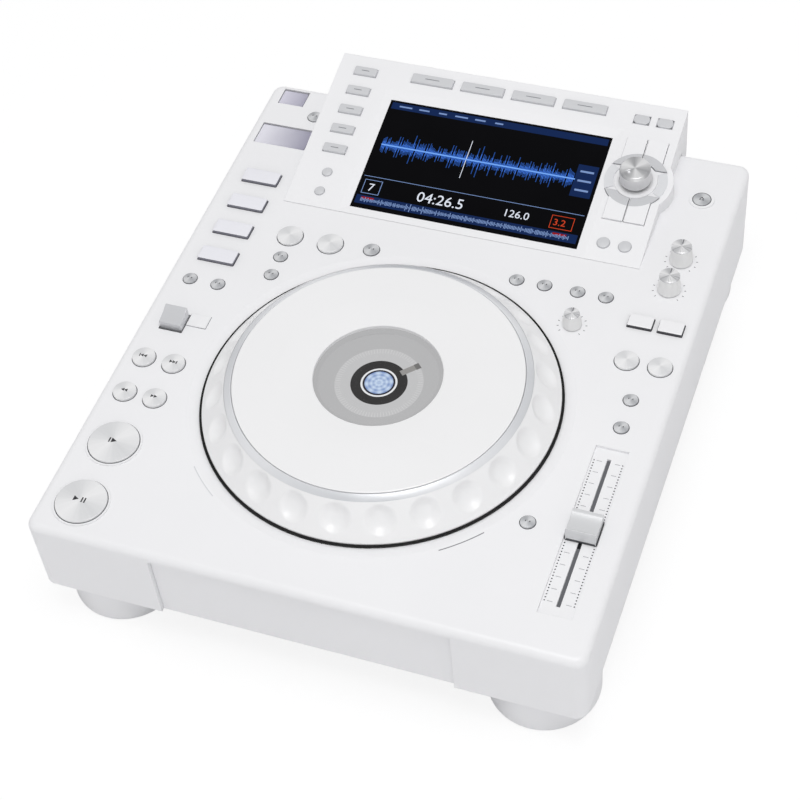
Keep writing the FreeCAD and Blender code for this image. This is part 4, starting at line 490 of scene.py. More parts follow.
SLOPE = deck(0, CREASE) @ turned(TILT, "X")
SIDEWAYS = turned(90, "Z") @ turned(90, "X")
REARWARD = turned(-90, "X")


def slope(x, up, rise=0.0):
    """Place on the display unit, by its distance up the slope."""
    return SLOPE @ shift(x, up, rise)


def node_box(node):
    """Low corner, high corner and middle of a CAD node in millimetres."""
    low, high = [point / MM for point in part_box(node)]
    return low, high, (low + high) / 2


def solids(node, place=None):
    """Box of each solid in a CAD node, in millimetres of a place, left to right and near to far."""
    merged = bmesh.new()
    merged.from_mesh(frame["nodes"][node].data)
    bmesh.ops.scale(merged, vec=(1 / MM, 1 / MM, 1 / MM), verts=merged.verts)
    bmesh.ops.remove_doubles(merged, verts=merged.verts, dist=0.001)
    into = (place or Matrix()).inverted()
    left = set(merged.verts)
    boxes = []
    while left:
        waiting = [left.pop()]
        points = []
        while waiting:
            vert = waiting.pop()
            points.append(into @ vert.co)
            for edge in vert.link_edges:
                other = edge.other_vert(vert)
                if other in left:
                    left.remove(other)
                    waiting.append(other)
        low = Vector([min(point[axis] for point in points) for axis in range(3)])
        high = Vector([max(point[axis] for point in points) for axis in range(3)])
        boxes.append((low, high))
    merged.free()
    return sorted(boxes, key=lambda box: (round(box[0].x), box[0].y))


def dome(high, crown, radius):
    """Height of a crowned face over its middle."""
    return lambda x, y: high - crown * (x * x + y * y) / (radius * radius)


def round_cap(shape, place, box, crown, edge, segments=72):
    """Round button with its flange, its rounded edge and its crowned face."""
    low, high = box
    middle = (low + high) / 2
    radius = (high.x - low.x) / 2 - FLANGE
    base = low.z + FLANGE_THICKNESS
    rim = high.z - crown
    rows = [(0.01, low.z), (radius + FLANGE, low.z), (radius + FLANGE, base), (radius, base)]
    rows += [(radius - edge * inset, rim - edge * drop) for inset, drop in bend()]
    for step in range(1, 7):
        share = 1 - step / 6.05
        ring = (radius - edge) * share
        rows.append((ring, high.z - crown * share * share))
    spot = place @ shift(middle.x, middle.y)
    shape.lathe(spot, rows, segments, radius)
    return spot, radius, high.z


def key_cap(shape, place, box, corner, edge, pillow=0.0, side=0):
    """Square-cornered key with its flange and a faintly raised face."""
    low, high = box
    middle = (low + high) / 2
    width = high.x - low.x - FLANGE * 2
    length = high.y - low.y - FLANGE * 2
    base = low.z + FLANGE_THICKNESS
    foot = rounded(width + FLANGE * 2, length + FLANGE * 2, corner)
    loops = [at(foot, low.z), at(foot, base), at(rounded(width, length, corner), base)]
    rim = high.z - pillow
    for inset, drop in bend():
        inset *= edge
        loops.append(at(rounded(width - inset * 2, length - inset * 2, corner - inset),
                        rim - edge * drop))
    if pillow:
        for inset, share in ((edge + 0.5, 0.5), (edge + 1.3, 0.85), (edge + 2.2, 1.0)):
            loops.append(at(rounded(width - inset * 2, length - inset * 2, corner - edge),
                            rim + pillow * share))
    spot = place @ shift(middle.x, middle.y)
    faces = shape.skin(spot, loops, max(width, length) / 2)
    around = len(loops[0])
    for face in faces[:around * 4]:
        face.material_index = side
    return spot, width


def mark(shape, place, points, surface, finish=1):
    """Thin printed mark that follows a surface."""
    under = at(points, lambda x, y: surface(x, y) - 0.06)
    over = at(points, lambda x, y: surface(x, y) + 0.03)
    shape.skin(place, [under, over], 10.0, finish)


def bar(x, y, width, length):
    return [(x - width / 2, y - length / 2), (x + width / 2, y - length / 2),
            (x + width / 2, y + length / 2), (x - width / 2, y + length / 2)]


def arrow(x, y, width, length):
    """Triangle that points along x, or against it where the width is negative."""
    points = [(x - width / 2, y - length / 2), (x + width / 2, y), (x - width / 2, y + length / 2)]
    return points if width > 0 else points[::-1]


SYMBOLS = {
    "play_button": [arrow(-2.7, 0, 3.2, 3.4), bar(0.9, 0, 0.8, 3.4), bar(2.6, 0, 0.8, 3.4)],
    "cue_button": [bar(-2.2, 0, 0.8, 3.4), arrow(0.6, 0, 3.2, 3.4)],
    "track_back_button": [bar(-2.3, 0, 0.6, 2.2), arrow(-0.9, 0, -2.0, 2.2),
                          arrow(1.1, 0, -2.0, 2.2)],
    "track_forward_button": [arrow(-1.1, 0, 2.0, 2.2), arrow(0.9, 0, 2.0, 2.2),
                             bar(2.3, 0, 0.6, 2.2)],
    "search_back_button": [arrow(-1.0, 0, -2.0, 2.2), arrow(1.0, 0, -2.0, 2.2)],
    "search_forward_button": [arrow(-1.0, 0, 2.0, 2.2), arrow(1.0, 0, 2.0, 2.2)],
    "eject_button": [bar(0, -1.2, 3.0, 0.5)],
}


# Repeated pieces by Geometry Nodes


class Recipe(Tree):
    """Geometry node tree with named inputs."""

    def __init__(self, name, inputs):
        super().__init__(bpy.data.node_groups.new(name, "GeometryNodeTree"))
        face = self.tree.interface
        face.new_socket("Geometry", in_out="INPUT", socket_type="NodeSocketGeometry")
        face.new_socket("Geometry", in_out="OUTPUT", socket_type="NodeSocketGeometry")
        self.ids = {}
        for label, (kind, value) in inputs.items():
            item = face.new_socket(label, in_out="INPUT", socket_type="NodeSocket" + kind)
            if value is not None:
                item.default_value = value
            self.ids[label] = item.identifier
        self.start = self.tree.nodes.new("NodeGroupInput")
        self.stop = self.tree.nodes.new("NodeGroupOutput")

    def given(self, label):
        return Wire(self, self.start.outputs[label])

    def copies(self, inputs):
        """Repeats the given piece on points and ends the tree."""
        piece = self.node("GeometryNodeObjectInfo", None, {"Object": self.given("Piece")},
                          "Geometry")
        self.close(self.node("GeometryNodeInstanceOnPoints", None, {"Instance": piece, **inputs}))

    def close(self, geometry):
        """Ends the tree in realized instances with their finish."""
        real = self.node("GeometryNodeRealizeInstances", None, {"Geometry": geometry})
        done = self.node("GeometryNodeSetMaterial", None,
                         {"Geometry": real, "Material": self.given("Finish")})
        self.feed(self.stop.inputs[0], done)

    def run(self, name, values, place, start=None):
        """Plain mesh that the tree gives for these input values."""
        holder = bpy.data.objects.new(name + "_holder", start or bpy.data.meshes.new(name + "_in"))
        bpy.context.scene.collection.objects.link(holder)
        modifier = holder.modifiers.new("recipe", "NODES")
        modifier.node_group = self.tree
        for label, value in values.items():
            modifier[self.ids[label]] = value
        graph = bpy.context.evaluated_depsgraph_get()
        data = bpy.data.meshes.new_from_object(holder.evaluated_get(graph))
        holder.modifiers.remove(modifier)
        bpy.data.objects.remove(holder)
        data.name = name
        put(data, place)
        return data


def pattern(name, build):
    """Hidden object that a recipe repeats."""
    shape = Shape()
    build(shape)
    return bpy.data.objects.new(name, shape.data(name))


def lay(name, recipe, finish, values, place, body=CHASSIS, start=None, stands_for=(),
        sharp=38):
    """Runs a recipe and settles its mesh as a piece."""
    data = recipe.run(name, {"Finish": finish, **values}, place, start)
    data.materials.clear()
    settle(name, data, [finish], body, stands_for, sharp)


REPEATED = {"Piece": ("Object", None), "Finish": ("Material", None), "Count": ("Int", 10)}


def row_recipe():
    """Repeats a piece along a straight line."""
    recipe = Recipe("row", {
        **REPEATED, "Start": ("Vector", (0, 0, 0)), "Step": ("Vector", (0, 0.001, 0))})
    line = recipe.node("GeometryNodeMeshLine", {"mode": "OFFSET"}, {
        "Count": recipe.given("Count"), "Start Location": recipe.given("Start"),
        "Offset": recipe.given("Step")})
    recipe.copies({"Points": line})
    return recipe


def ring_recipe():
    """Repeats a piece round a circle, turned to face out."""
    recipe = Recipe("ring", {
        **REPEATED, "Radius": ("Float", 0.01), "First angle": ("Float", 0.0),
        "Sweep": ("Float", math.tau)})
    line = recipe.node("GeometryNodeMeshLine", {"mode": "OFFSET"},
                       {"Count": recipe.given("Count")})
    index = recipe.node("GeometryNodeInputIndex")
    angle = recipe.given("First angle") + index * (recipe.given("Sweep") / recipe.given("Count"))
    spot = recipe.joined(recipe.sum("COSINE", angle) * recipe.given("Radius"),
                         recipe.sum("SINE", angle) * recipe.given("Radius"), 0.0)
    round_line = recipe.node("GeometryNodeSetPosition", None, {"Geometry": line, "Position": spot})
    recipe.copies({"Points": round_line, "Rotation": recipe.joined(0.0, 0.0, angle)})
    return recipe


def wave_recipe():
    """Row of bars whose lengths follow a noise, like the wave of a recording."""
    recipe = Recipe("wave", {
        **REPEATED, "Step": ("Float", 0.001), "Seed": ("Float", 0.0), "Low": ("Float", 0.2),
        "High": ("Float", 1.0)})
    line = recipe.node("GeometryNodeMeshLine", {"mode": "OFFSET"}, {
        "Count": recipe.given("Count"), "Offset": recipe.joined(recipe.given("Step"), 0.0, 0.0)})
    index = recipe.node("GeometryNodeInputIndex")
    quick = recipe.node("ShaderNodeTexNoise", {"noise_dimensions": "1D"}, {
        "W": index * 0.9 + recipe.given("Seed"), "Detail": 2.0, "Scale": 1.0})
    slow = recipe.node("ShaderNodeTexNoise", {"noise_dimensions": "1D"}, {
        "W": index * 0.06 + recipe.given("Seed"), "Detail": 1.0, "Scale": 1.0})
    share = (quick - 0.28) * 1.9 * (slow + 0.35)
    height = recipe.given("Low") + share * (recipe.given("High") - recipe.given("Low"))
    height = recipe.sum("MAXIMUM", height, recipe.given("Low"))
    recipe.copies({"Points": line, "Scale": recipe.joined(1.0, height, 1.0)})
    return recipe


def dimple_recipe():
    """Presses a ring of round dimples into the dial's sloping face."""
    recipe = Recipe("dimples", {
        "Finish": ("Material", None), "Count": ("Int", 24), "First angle": ("Float", 0.0),
        "Circle": ("Float", 0.0945), "Dimple radius": ("Float", 0.008), "Depth": ("Float", 0.002),
        "Edge radius": ("Float", 0.103), "Edge height": ("Float", 0.0009),
        "Run": ("Float", 0.015), "Rise": ("Float", 0.0166)})
    x, y, z = recipe.split(recipe.node("GeometryNodeInputPosition"))
    radius = recipe.sum("SQRT", x * x + y * y)
    step = math.tau / recipe.given("Count")
    steps = (recipe.sum("ARCTAN2", y, x) - recipe.given("First angle")) / step
    offset = (steps - recipe.sum("ROUND", steps, 0.0)) * step
    rise = recipe.given("Rise")
    run = recipe.given("Run")
    slant = recipe.sum("SQRT", run * run + rise * rise)
    along = (radius - recipe.given("Circle")) * slant / run
    around = recipe.sum("SINE", offset) * radius
    share = 1.0 - (along * along + around * around) / (
        recipe.given("Dimple radius") * recipe.given("Dimple radius"))
    share = recipe.sum("MAXIMUM", share, 0.0)
    soft = share * share * (3.0 - 2.0 * share) * 0.45 + share * 0.55
    line = recipe.given("Edge height") + (recipe.given("Edge radius") - radius) * rise / run
    outside = recipe.sum("GREATER_THAN", z, line - 0.0015)
    press = soft * recipe.given("Depth") * outside
    sideways = press * rise / slant / radius
    move = recipe.joined(0.0 - x * sideways, 0.0 - y * sideways, 0.0 - press * run / slant)
    pressed = recipe.node("GeometryNodeSetPosition", None, {
        "Geometry": recipe.given("Geometry"), "Offset": move})
    recipe.close(pressed)
    return recipe


# Pieces


def setting():
    scene = bpy.context.scene
    return scene.player_sizes, scene.player_colours


def colour(value):
    return (*value, 1.0)


def dress(node, finish):
    """Gives a carried-over CAD node its finish."""
    piece = frame["nodes"][node]
    if not piece.material_slots:
        piece.data.materials.append(finish)
    for place in piece.material_slots:
        place.material = finish


class PLAYER_OT_shell(bpy.types.Operator):
    """Paint of the shell, its panels and the display unit."""

    bl_idname = "player.shell"
    bl_label = "Shell"

    def execute(self, context):
        _, colours = setting()
        body = satin("shell_white", colour(colours.shell), 0.4, soft_edge=0.35, coat=0.08)
        for node in ("top_cover", "front_panel", "display_housing"):
            dress(node, body)
        dress("rear_panel", satin("panel_white", tone(228, 228, 231), 0.5, soft_edge=0.3))
        dress("bottom_plate", satin("sheet_steel", tone(196, 198, 202), 0.42, metal=0.5))
        return {"FINISHED"}


def base_height(y):
    """Height of the sloping base plate."""
    return BASE_FRONT - BASE_FALL * (y + HALF_DEPTH) / BASE_LENGTH


class PLAYER_OT_feet(bpy.types.Operator):
    """Four silver feet with rubber pads."""

    bl_idname = "player.feet"
    bl_label = "Feet"

    def execute(self, context):
        _, colours = setting()
        silver = satin("foot_silver", colour(colours.foot), 0.36, 1400, 0.00003, 0.03, 0.1)
        rubber = satin("pad_rubber", tone(62, 62, 66), 0.75, 900, 0.0001)
        shape = Shape()
        for low, high in solids("feet"):
            middle = (low + high) / 2
            radius = (high.x - low.x) / 2
            loops = [at(circle(radius - 4.5), 0.5), at(circle(radius - 3.2), 0.5)]
            loops += [at(circle(radius - 2.2 * drop), 0.8 + 2.2 * inset) for inset, drop in bend(5)]
            loops.append(at(circle(radius), 8.0))
            for reach, drop in ((radius, 1.6), (radius - 0.7, 1.3), (radius - 0.7, 0.0)):
                loops.append([(x, y, base_height(y + middle.y) - drop) for x, y in circle(reach)])
            spot = shift(middle.x, middle.y)
            shape.skin(spot, loops, radius)
            shape.lathe(spot, [(0.01, 0.0), (radius - 5.6, 0.0), (radius - 5.0, 0.6),
                               (radius - 5.0, 1.6)], finish=1)
        shape.make("feet_silver", [silver, rubber], CHASSIS, ["feet"])
        return {"FINISHED"}


class PLAYER_OT_wheel(bpy.types.Operator):
    """Jog wheel: dimpled dial, silver ring, white plate and clear window."""

    bl_idname = "player.wheel"
    bl_label = "Jog wheel"

    def execute(self, context):
        sizes, colours = setting()
        white = satin("dial_white", colour(colours.dial), 0.33, 3000, 0.00002, coat=0.15)
        plate_white = satin("plate_white", colour(colours.plate), 0.3, 3200, 0.00002, coat=0.2)
        self.dial(sizes, white)
        centre = deck(0, JOG_BACK)
        # Painted reflection on the ring: sectors blend its colour as painted highlight with tone(206,
        # 208, 212) as painted shade.
        silver = spun("ring_silver", colour(colours.ring), tone(206, 208, 212), 0.34, 0.2,
                      turns=140.0, sectors=4.0)
        ring = Shape()
        ring.lathe(centre, [(83.5, 15.6), (87.7, 15.6), (87.75, 17.3), (87.45, 17.65),
                            (84.0, 19.3), (83.6, 19.3), (83.45, 19.1)], 288, finish=0, ring=True)
        ring.make("wheel_ring", [silver], WHEEL, ["jog_ring"], 25)
        plate = Shape()
        plate.lathe(centre, [(37.0, 17.4), (80.0, 17.4), (80.0, 15.6), (83.15, 15.6),
                             (83.2, 19.3), (83.05, 19.62), (82.7, 19.78), (82.0, 19.8),
                             (60.0, 19.8), (37.6, 19.8), (37.25, 19.7), (37.0, 19.45)],
                    288, ring=True)
        plate.make("wheel_plate", [plate_white], WHEEL, ["jog_plate"], 25)
        window = Shape()
        window.lathe(centre, [(0.01, 17.35), (36.85, 17.35), (36.9, 18.5), (36.6, 18.8),
                              (0.01, 18.8)], 144)
        window.make("wheel_window", [clear("window_clear", tone(236, 238, 242), 0.012)], WHEEL,
                    ["jog_window"])
        # Painted light: the jog shaft glows at a fixed grey though it is no lamp.
        dress("jog_shaft", glowing("shaft_grey", tone(176, 176, 177), 1.0, 0.02))
        dark = satin("wheel_inside", tone(46, 47, 50), 0.6)
        dress("jog_bearing", dark)
        return {"FINISHED"}

    def dial(self, sizes, finish):
        outer = [(87.9, 12.6), (99.9, -4.0), (99.95, -8.0), (WHEEL_RADIUS, -8.0),
                 (WHEEL_RADIUS, 0.1)]
        outer += [(WHEEL_RADIUS - 0.9 * inset, 1.0 - 0.9 * drop) for inset, drop in bend(4, 48)]
        start = outer[-1]
        for step in range(1, 40):
            share = step / 40
            outer.append((start[0] + (88.25 - start[0]) * share,
                          start[1] + (17.1 - start[1]) * share))
        outer += [(88.2, 17.25), (88.05, 17.42), (87.85, 17.5), (87.82, 15.5), (42.0, 15.5),
                  (42.0, 12.6)]
        shape = Shape()
        shape.lathe(Matrix(), outer, 720, ring=True)
        lay("wheel_dial", dimple_recipe(), finish, {
            "Count": sizes.dimples, "First angle": math.radians(-85),
            "Dimple radius": sizes.dimple_radius, "Depth": sizes.dimple_depth},
            deck(0, JOG_BACK), WHEEL, shape.data("wheel_dial"), ["jog_dial"], 30)


class PLAYER_OT_centre(bpy.types.Operator):
    """Fixed centre display under the window, with a plain ring design."""

    bl_idname = "player.centre"
    bl_label = "Centre display"

    def execute(self, context):
        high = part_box("jog_display")[1].z / MM
        place = shift(0, JOG_BACK - HALF_DEPTH, high)
        face = Shape()
        face.lathe(place, [(0.01, 0.0), (36.9, 0.0), (36.9, 0.06), (30.0, 0.06), (20.0, 0.06),
                           (10.0, 0.06), (0.01, 0.06)], 144, WINDOW_RADIUS)
        face.make("centre_face", [self.picture()], CHASSIS)
        pointer = Shape()
        tip = place @ turned(45, "Z")
        pointer.prism(tip, bar(18.6, 0, 9.4, 3.8), 0.07, 0.14)
        pointer.prism(tip, bar(24.4, 0, 3.0, 4.2), 0.07, 0.16, 1)
        pointer.make("centre_pointer", [
            glowing("pointer_grey", tone(150, 148, 146), 0.95),
            glowing("pointer_tip", tone(112, 111, 110), 0.95)], CHASSIS)
        tick = pattern("tick", lambda shape: shape.prism(Matrix(), bar(0, 0, 3.2, 0.28), 0.06, 0.1))
        lay("centre_ticks", ring_recipe(), glowing("tick_grey", tone(212, 212, 212), 0.95),
            {"Piece": tick, "Count": 90, "Radius": 23.6 * MM}, place)
        dress("jog_display", satin("display_edge", tone(40, 40, 43), 0.5))
        return {"FINISHED"}

    def picture(self):
        finish = Finish("centre_display", {"Specular IOR Level": 0.05, "Emission Strength": 0.95})
        across, along, _ = finish.split(finish.place("UV"))
        radius = finish.sum("SQRT", across * across + along * along)
        angle = finish.sum("ARCTAN2", along, across)
        stops = [(0.0, tone(206, 222, 246)), (8.2, tone(20, 22, 40)), (9.3, tone(240, 241, 243)),
                 (10.5, tone(34, 32, 31)), (16.2, tone(199, 199, 200)), (25.3, tone(186, 186, 187))]
        bands = finish.node("ShaderNodeValToRGB", {
            "stops": [(distance / WINDOW_RADIUS, shade) for distance, shade in stops]},
            {0: radius})
        bands.socket.node.color_ramp.interpolation = "CONSTANT"
        rings = finish.sum("SINE", radius * 92.0) * 0.5 + 0.5
        petals = finish.sum("COSINE", angle * 8.0) * 0.5 + 0.5
        middle = finish.blend(rings * 0.4 + petals * radius * 2.8, tone(206, 224, 246),
                              tone(112, 140, 196))
        inside = finish.sum("LESS_THAN", radius, 8.2 / WINDOW_RADIUS)
        shown = finish.blend(inside, bands, middle)
        grain = finish.noise(1800, 1.0)
        shown = finish.blend(grain * 0.06, shown, (0.0, 0.0, 0.0, 1.0))
        return finish.wear(Base_Color=(0.0, 0.0, 0.0, 1.0), Emission_Color=shown)


# Bars of the screen: middle, size, lower and upper level, and finish
SCREEN_BARS = (
    (2, 86.3, 143, 5.0, 0.02, 0.06, 0), (2, 12.6, 143, 6.4, 0.02, 0.06, 0),
    (66.6, 55, 13, 24, 0.02, 0.06, 0),
    *[(-60 + index * 12.5, 86.3, 8.5 - index % 3 * 1.6, 1.1, 0.07, 0.1, 1) for index in range(6)],
    *[(66.6, 48 + index * 7, 8.6, 1.4, 0.07, 0.1, 1) for index in range(3)],
    (2, 30.4, 143, 0.35, 0.02, 0.06, 1), (-10, 55.5, 0.4, 29, 0.09, 0.12, 2),
    (-62, 22.6, 11.6, 10.6, 0.03, 0.07, 1), (-62, 22.6, 10.8, 9.8, 0.08, 0.1, 3),
    (61.5, 22.4, 14.4, 9.6, 0.03, 0.07, 4), (61.5, 22.4, 13.6, 8.8, 0.08, 0.1, 3),
    (-3, 55.5, 127, 0.9, 0.09, 0.13, 5),
    *[(x, 15.2 - abs(x) * 0.02, 5.2, 1.5, 0.07, 0.1, 6) for x in (-63.5, -60.5, 60.5, 64.0)],
)


class PLAYER_OT_screen(bpy.types.Operator):
    """Screen with a plain generic layout: a wave, bars and a few numbers."""

    bl_idname = "player.screen"
    bl_label = "Screen"

    def execute(self, context):
        sizes, colours = setting()
        glass = Finish("screen_glass", {"Specular IOR Level": 0.04})
        smear = glass.noise(40, 3.0)
        glass.wear(Base_Color=glass.blend(smear, tone(5, 5, 7), tone(10, 10, 13)),
                   Roughness=0.08 + smear * 0.05)
        dress("screen_panel", glass.material)
        navy = glowing("screen_navy", tone(24, 42, 84), 1.0)
        blue = glowing("screen_blue", colour(colours.wave), 1.0)
        pale = glowing("screen_pale", tone(226, 232, 244), 1.0)
        steel = glowing("screen_steel", tone(126, 152, 200), 1.0)
        bright = glowing("screen_bright", tone(120, 172, 255), 1.0)
        red = glowing("screen_red", tone(150, 26, 24), 1.0)
        warm = glowing("screen_warm", tone(206, 70, 40), 1.0)
        base = slope(0, 0, -0.9)
        panels = Shape()
        for x, up, width, length, low, high, finish in SCREEN_BARS:
            panels.prism(base, bar(x, up, width, length), low, high, finish)
        panels.make("screen_panels", [navy, steel, pale, glass.material, warm, bright, red], CHASSIS)
        stick = pattern("wave_bar", lambda shape: shape.prism(Matrix(), bar(0, 0, 0.5, 24), 0, 0.04))
        recipe = wave_recipe()
        edge = glowing("wave_edge", scaled(colour(colours.wave), 0.42), 1.0)
        waves = (
            ("screen_wave_outer", 0.84, slope(-66, 55.5, -0.87), (3.0, 0.06, 1.0), edge),
            ("screen_wave_core", 0.84, slope(-66, 55.5, -0.84), (3.0, 0.04, 0.5), blue),
            ("screen_strip", 0.9, slope(-66, 12.6, -0.83), (40.0, 0.03, 0.24), steel),
        )
        for name, step, place, (seed, low, high), finish in waves:
            lay(name, recipe, finish, {
                "Piece": stick, "Count": sizes.wave_count, "Step": step * MM, "Seed": seed,
                "Low": low, "High": high}, place)
        self.number("screen_time", "04:26.5", 10.5, slope(-32, 18.6, -0.86), pale)
        self.number("screen_rate", "126.0", 7.6, slope(24, 19.8, -0.86), pale)
        self.number("screen_track", "7", 8.0, slope(-64.4, 19.6, -0.78), pale)
        self.number("screen_beat", "3.2", 6.6, slope(56.0, 20.0, -0.78), warm)
        return {"FINISHED"}

    def number(self, name, text, height, place, finish):
        curve = bpy.data.curves.new(name, "FONT")
        curve.body = text
        curve.size = height * MM
        curve.extrude = 0.00002
        curve.resolution_u = 3
        holder = bpy.data.objects.new(name + "_holder", curve)
        bpy.context.scene.collection.objects.link(holder)
        graph = bpy.context.evaluated_depsgraph_get()
        data = bpy.data.meshes.new_from_object(holder.evaluated_get(graph))
        bpy.data.objects.remove(holder)
        put(data, place)
        data.materials.clear()
        settle(name, data, [finish], CHASSIS)


ROUND_STYLES = {
    "play_button": ("pearl", 1.0), "cue_button": ("pearl", 1.0),
    "track_back_button": ("pearl", 0.7), "track_forward_button": ("pearl", 0.7),
    "search_back_button": ("pearl", 0.7), "search_forward_button": ("pearl", 0.7),
    "loop_in_button": ("pearl", 0.7), "loop_out_button": ("pearl", 0.7),
    "sync_button": ("pearl", 0.7), "master_button": ("pearl", 0.7),
    "eject_button": ("silver", 0.5), "usb_stop_button": ("silver", 0.5),
    "edit_buttons": ("silver", 0.5), "beat_buttons": ("silver", 0.5),
    "mode_buttons": ("silver", 0.5),
}


class PLAYER_OT_round_buttons(bpy.types.Operator):
    """Round deck buttons with spun faces."""

    bl_idname = "player.round_buttons"
    bl_label = "Round buttons"

    def execute(self, context):
        sizes, colours = setting()
        # Painted reflection on the caps: sectors blend the light tones as painted highlight with the
        # shade tones as painted shade.
        pearl = spun("button_pearl", colour(colours.pearl), colour(colours.pearl_painted_shade), 0.34, 0.05)
        silver = spun("button_silver", colour(colours.silver), colour(colours.silver_painted_shade), 0.42,
                      0.2, turns=8.0, coat=0.1)
        ink = satin("symbol_ink", tone(40, 40, 44), 0.6)
        for node, (style, crown) in ROUND_STYLES.items():
            shape = Shape()
            for box in solids(node):
                spot, radius, high = round_cap(shape, Matrix(), box, crown, sizes.edge)
                surface = dome(high, crown, radius)
                for points in SYMBOLS.get(node, []):
                    mark(shape, spot, points, surface)
                if node == "eject_button":
                    mark(shape, spot, [(-1.5, -0.5), (1.5, -0.5), (0.0, 1.3)], surface)
                elif style == "silver":
                    mark(shape, spot, bar(0, 0, radius * 0.7, 0.8), surface)
            finish = pearl if style == "pearl" else silver
            shape.make(node + "_cap", [finish, ink], node, [node])
        return {"FINISHED"}


SQUARE_STYLES = {
    "pad_1": ("pad_pale", 0.9, 0.25), "pad_2": ("pad_pale", 0.9, 0.25),
    "pad_3": ("pad_pale", 0.9, 0.25), "pad_4": ("pad_pale", 0.9, 0.25),
    "tempo_range_button": ("pad_pale", 0.6, 0.1), "master_tempo_button": ("pad_pale", 0.6, 0.1),
}


class PLAYER_OT_keys(bpy.types.Operator):
    """Pads and range keys of the deck."""

    bl_idname = "player.keys"
    bl_label = "Pads and keys"

    def execute(self, context):
        sizes, colours = setting()
        pad = satin("pad_pale", colour(colours.pad), 0.34, 2200, 0.00002, coat=0.2)
        # Painted shade: the sides of pads and range keys are coloured darker than their tops.
        side = satin("pad_side", tone(120, 120, 130), 0.45, 1800, 0.00002)
        white = satin("key_white", tone(240, 240, 242), 0.34, 2200, 0.00002, coat=0.2)
        edge = satin("key_edge", tone(66, 66, 70), 0.45, 1800, 0.00002)
        for node, (slot, corner, pillow) in SQUARE_STYLES.items():
            shape = Shape()
            for box in solids(node):
                key_cap(shape, Matrix(), box, corner, sizes.edge, pillow, side=1)
            finishes = [pad, side] if node.startswith("pad") else [white, edge]
            shape.make(node + "_cap", finishes, node, [node])
        return {"FINISHED"}


class PLAYER_OT_display_keys(bpy.types.Operator):
    """Keys and small round buttons of the display unit."""

    bl_idname = "player.display_keys"
    bl_label = "Display keys"

    def execute(self, context):
        sizes, colours = setting()
        key = satin("key_grey", colour(colours.key), 0.36, 1800, 0.00002, 0.03, 0.0, 0.1)
        ink = satin("key_ink", tone(120, 122, 128), 0.6)
        for node in ("source_buttons", "menu_buttons", "utility_buttons"):
            shape = Shape()
            for box in solids(node, SLOPE):
                low, high = box
                if abs((high.x - low.x) - (high.y - low.y)) < 0.1:
                    round_cap(shape, SLOPE, box, 0.4, 0.4, 48)
                    continue
                wide = high.x - low.x > 12.5
                corner = 1.1 if wide else 2.6
                spot, width = key_cap(shape, SLOPE, box, corner, sizes.edge, 0.15)
                if wide:
                    mark(shape, spot, bar(0, 0, width * 0.34, 0.5),
                         lambda x, y, top=high.z: top, 1)
            shape.make(node + "_cap", [key, ink], node, [node])
        self.tabs()
        return {"FINISHED"}

    def tabs(self):
        finish = Finish("tab_white", {"Coat Weight": 0.15})
        x, y, z = finish.split(finish.place())
        angle = math.radians(TILT)
        up = ((y - (CREASE - HALF_DEPTH) * MM) * math.cos(angle)
              + (z - DECK * MM) * math.sin(angle)) - SELECTOR[1] * MM
        side = x - SELECTOR[0] * MM
        radius = finish.sum("SQRT", side * side + up * up)
        outer = finish.sum("LESS_THAN", radius, 19.52 * MM)
        grain = finish.noise(2000, 2.0)
        _, colours = setting()
        grey = finish.blend(grain, tone(196, 197, 200), tone(206, 207, 210))
        finish.wear(Base_Color=finish.blend(outer, colour(colours.shell), grey),
                    Roughness=0.34 + grain * 0.08)
        dress("tab_buttons", finish.material)
        ring = Shape()
        for middle in (0.0, 180.0):
            ring.prism(slope(*SELECTOR), sector(13.8, 19.4, middle - 28.5, middle + 28.5),
                       -0.2, 0.6)
        ring.make("selector_arcs", [satin("arc_pale", tone(222, 223, 226), 0.36)], CHASSIS)


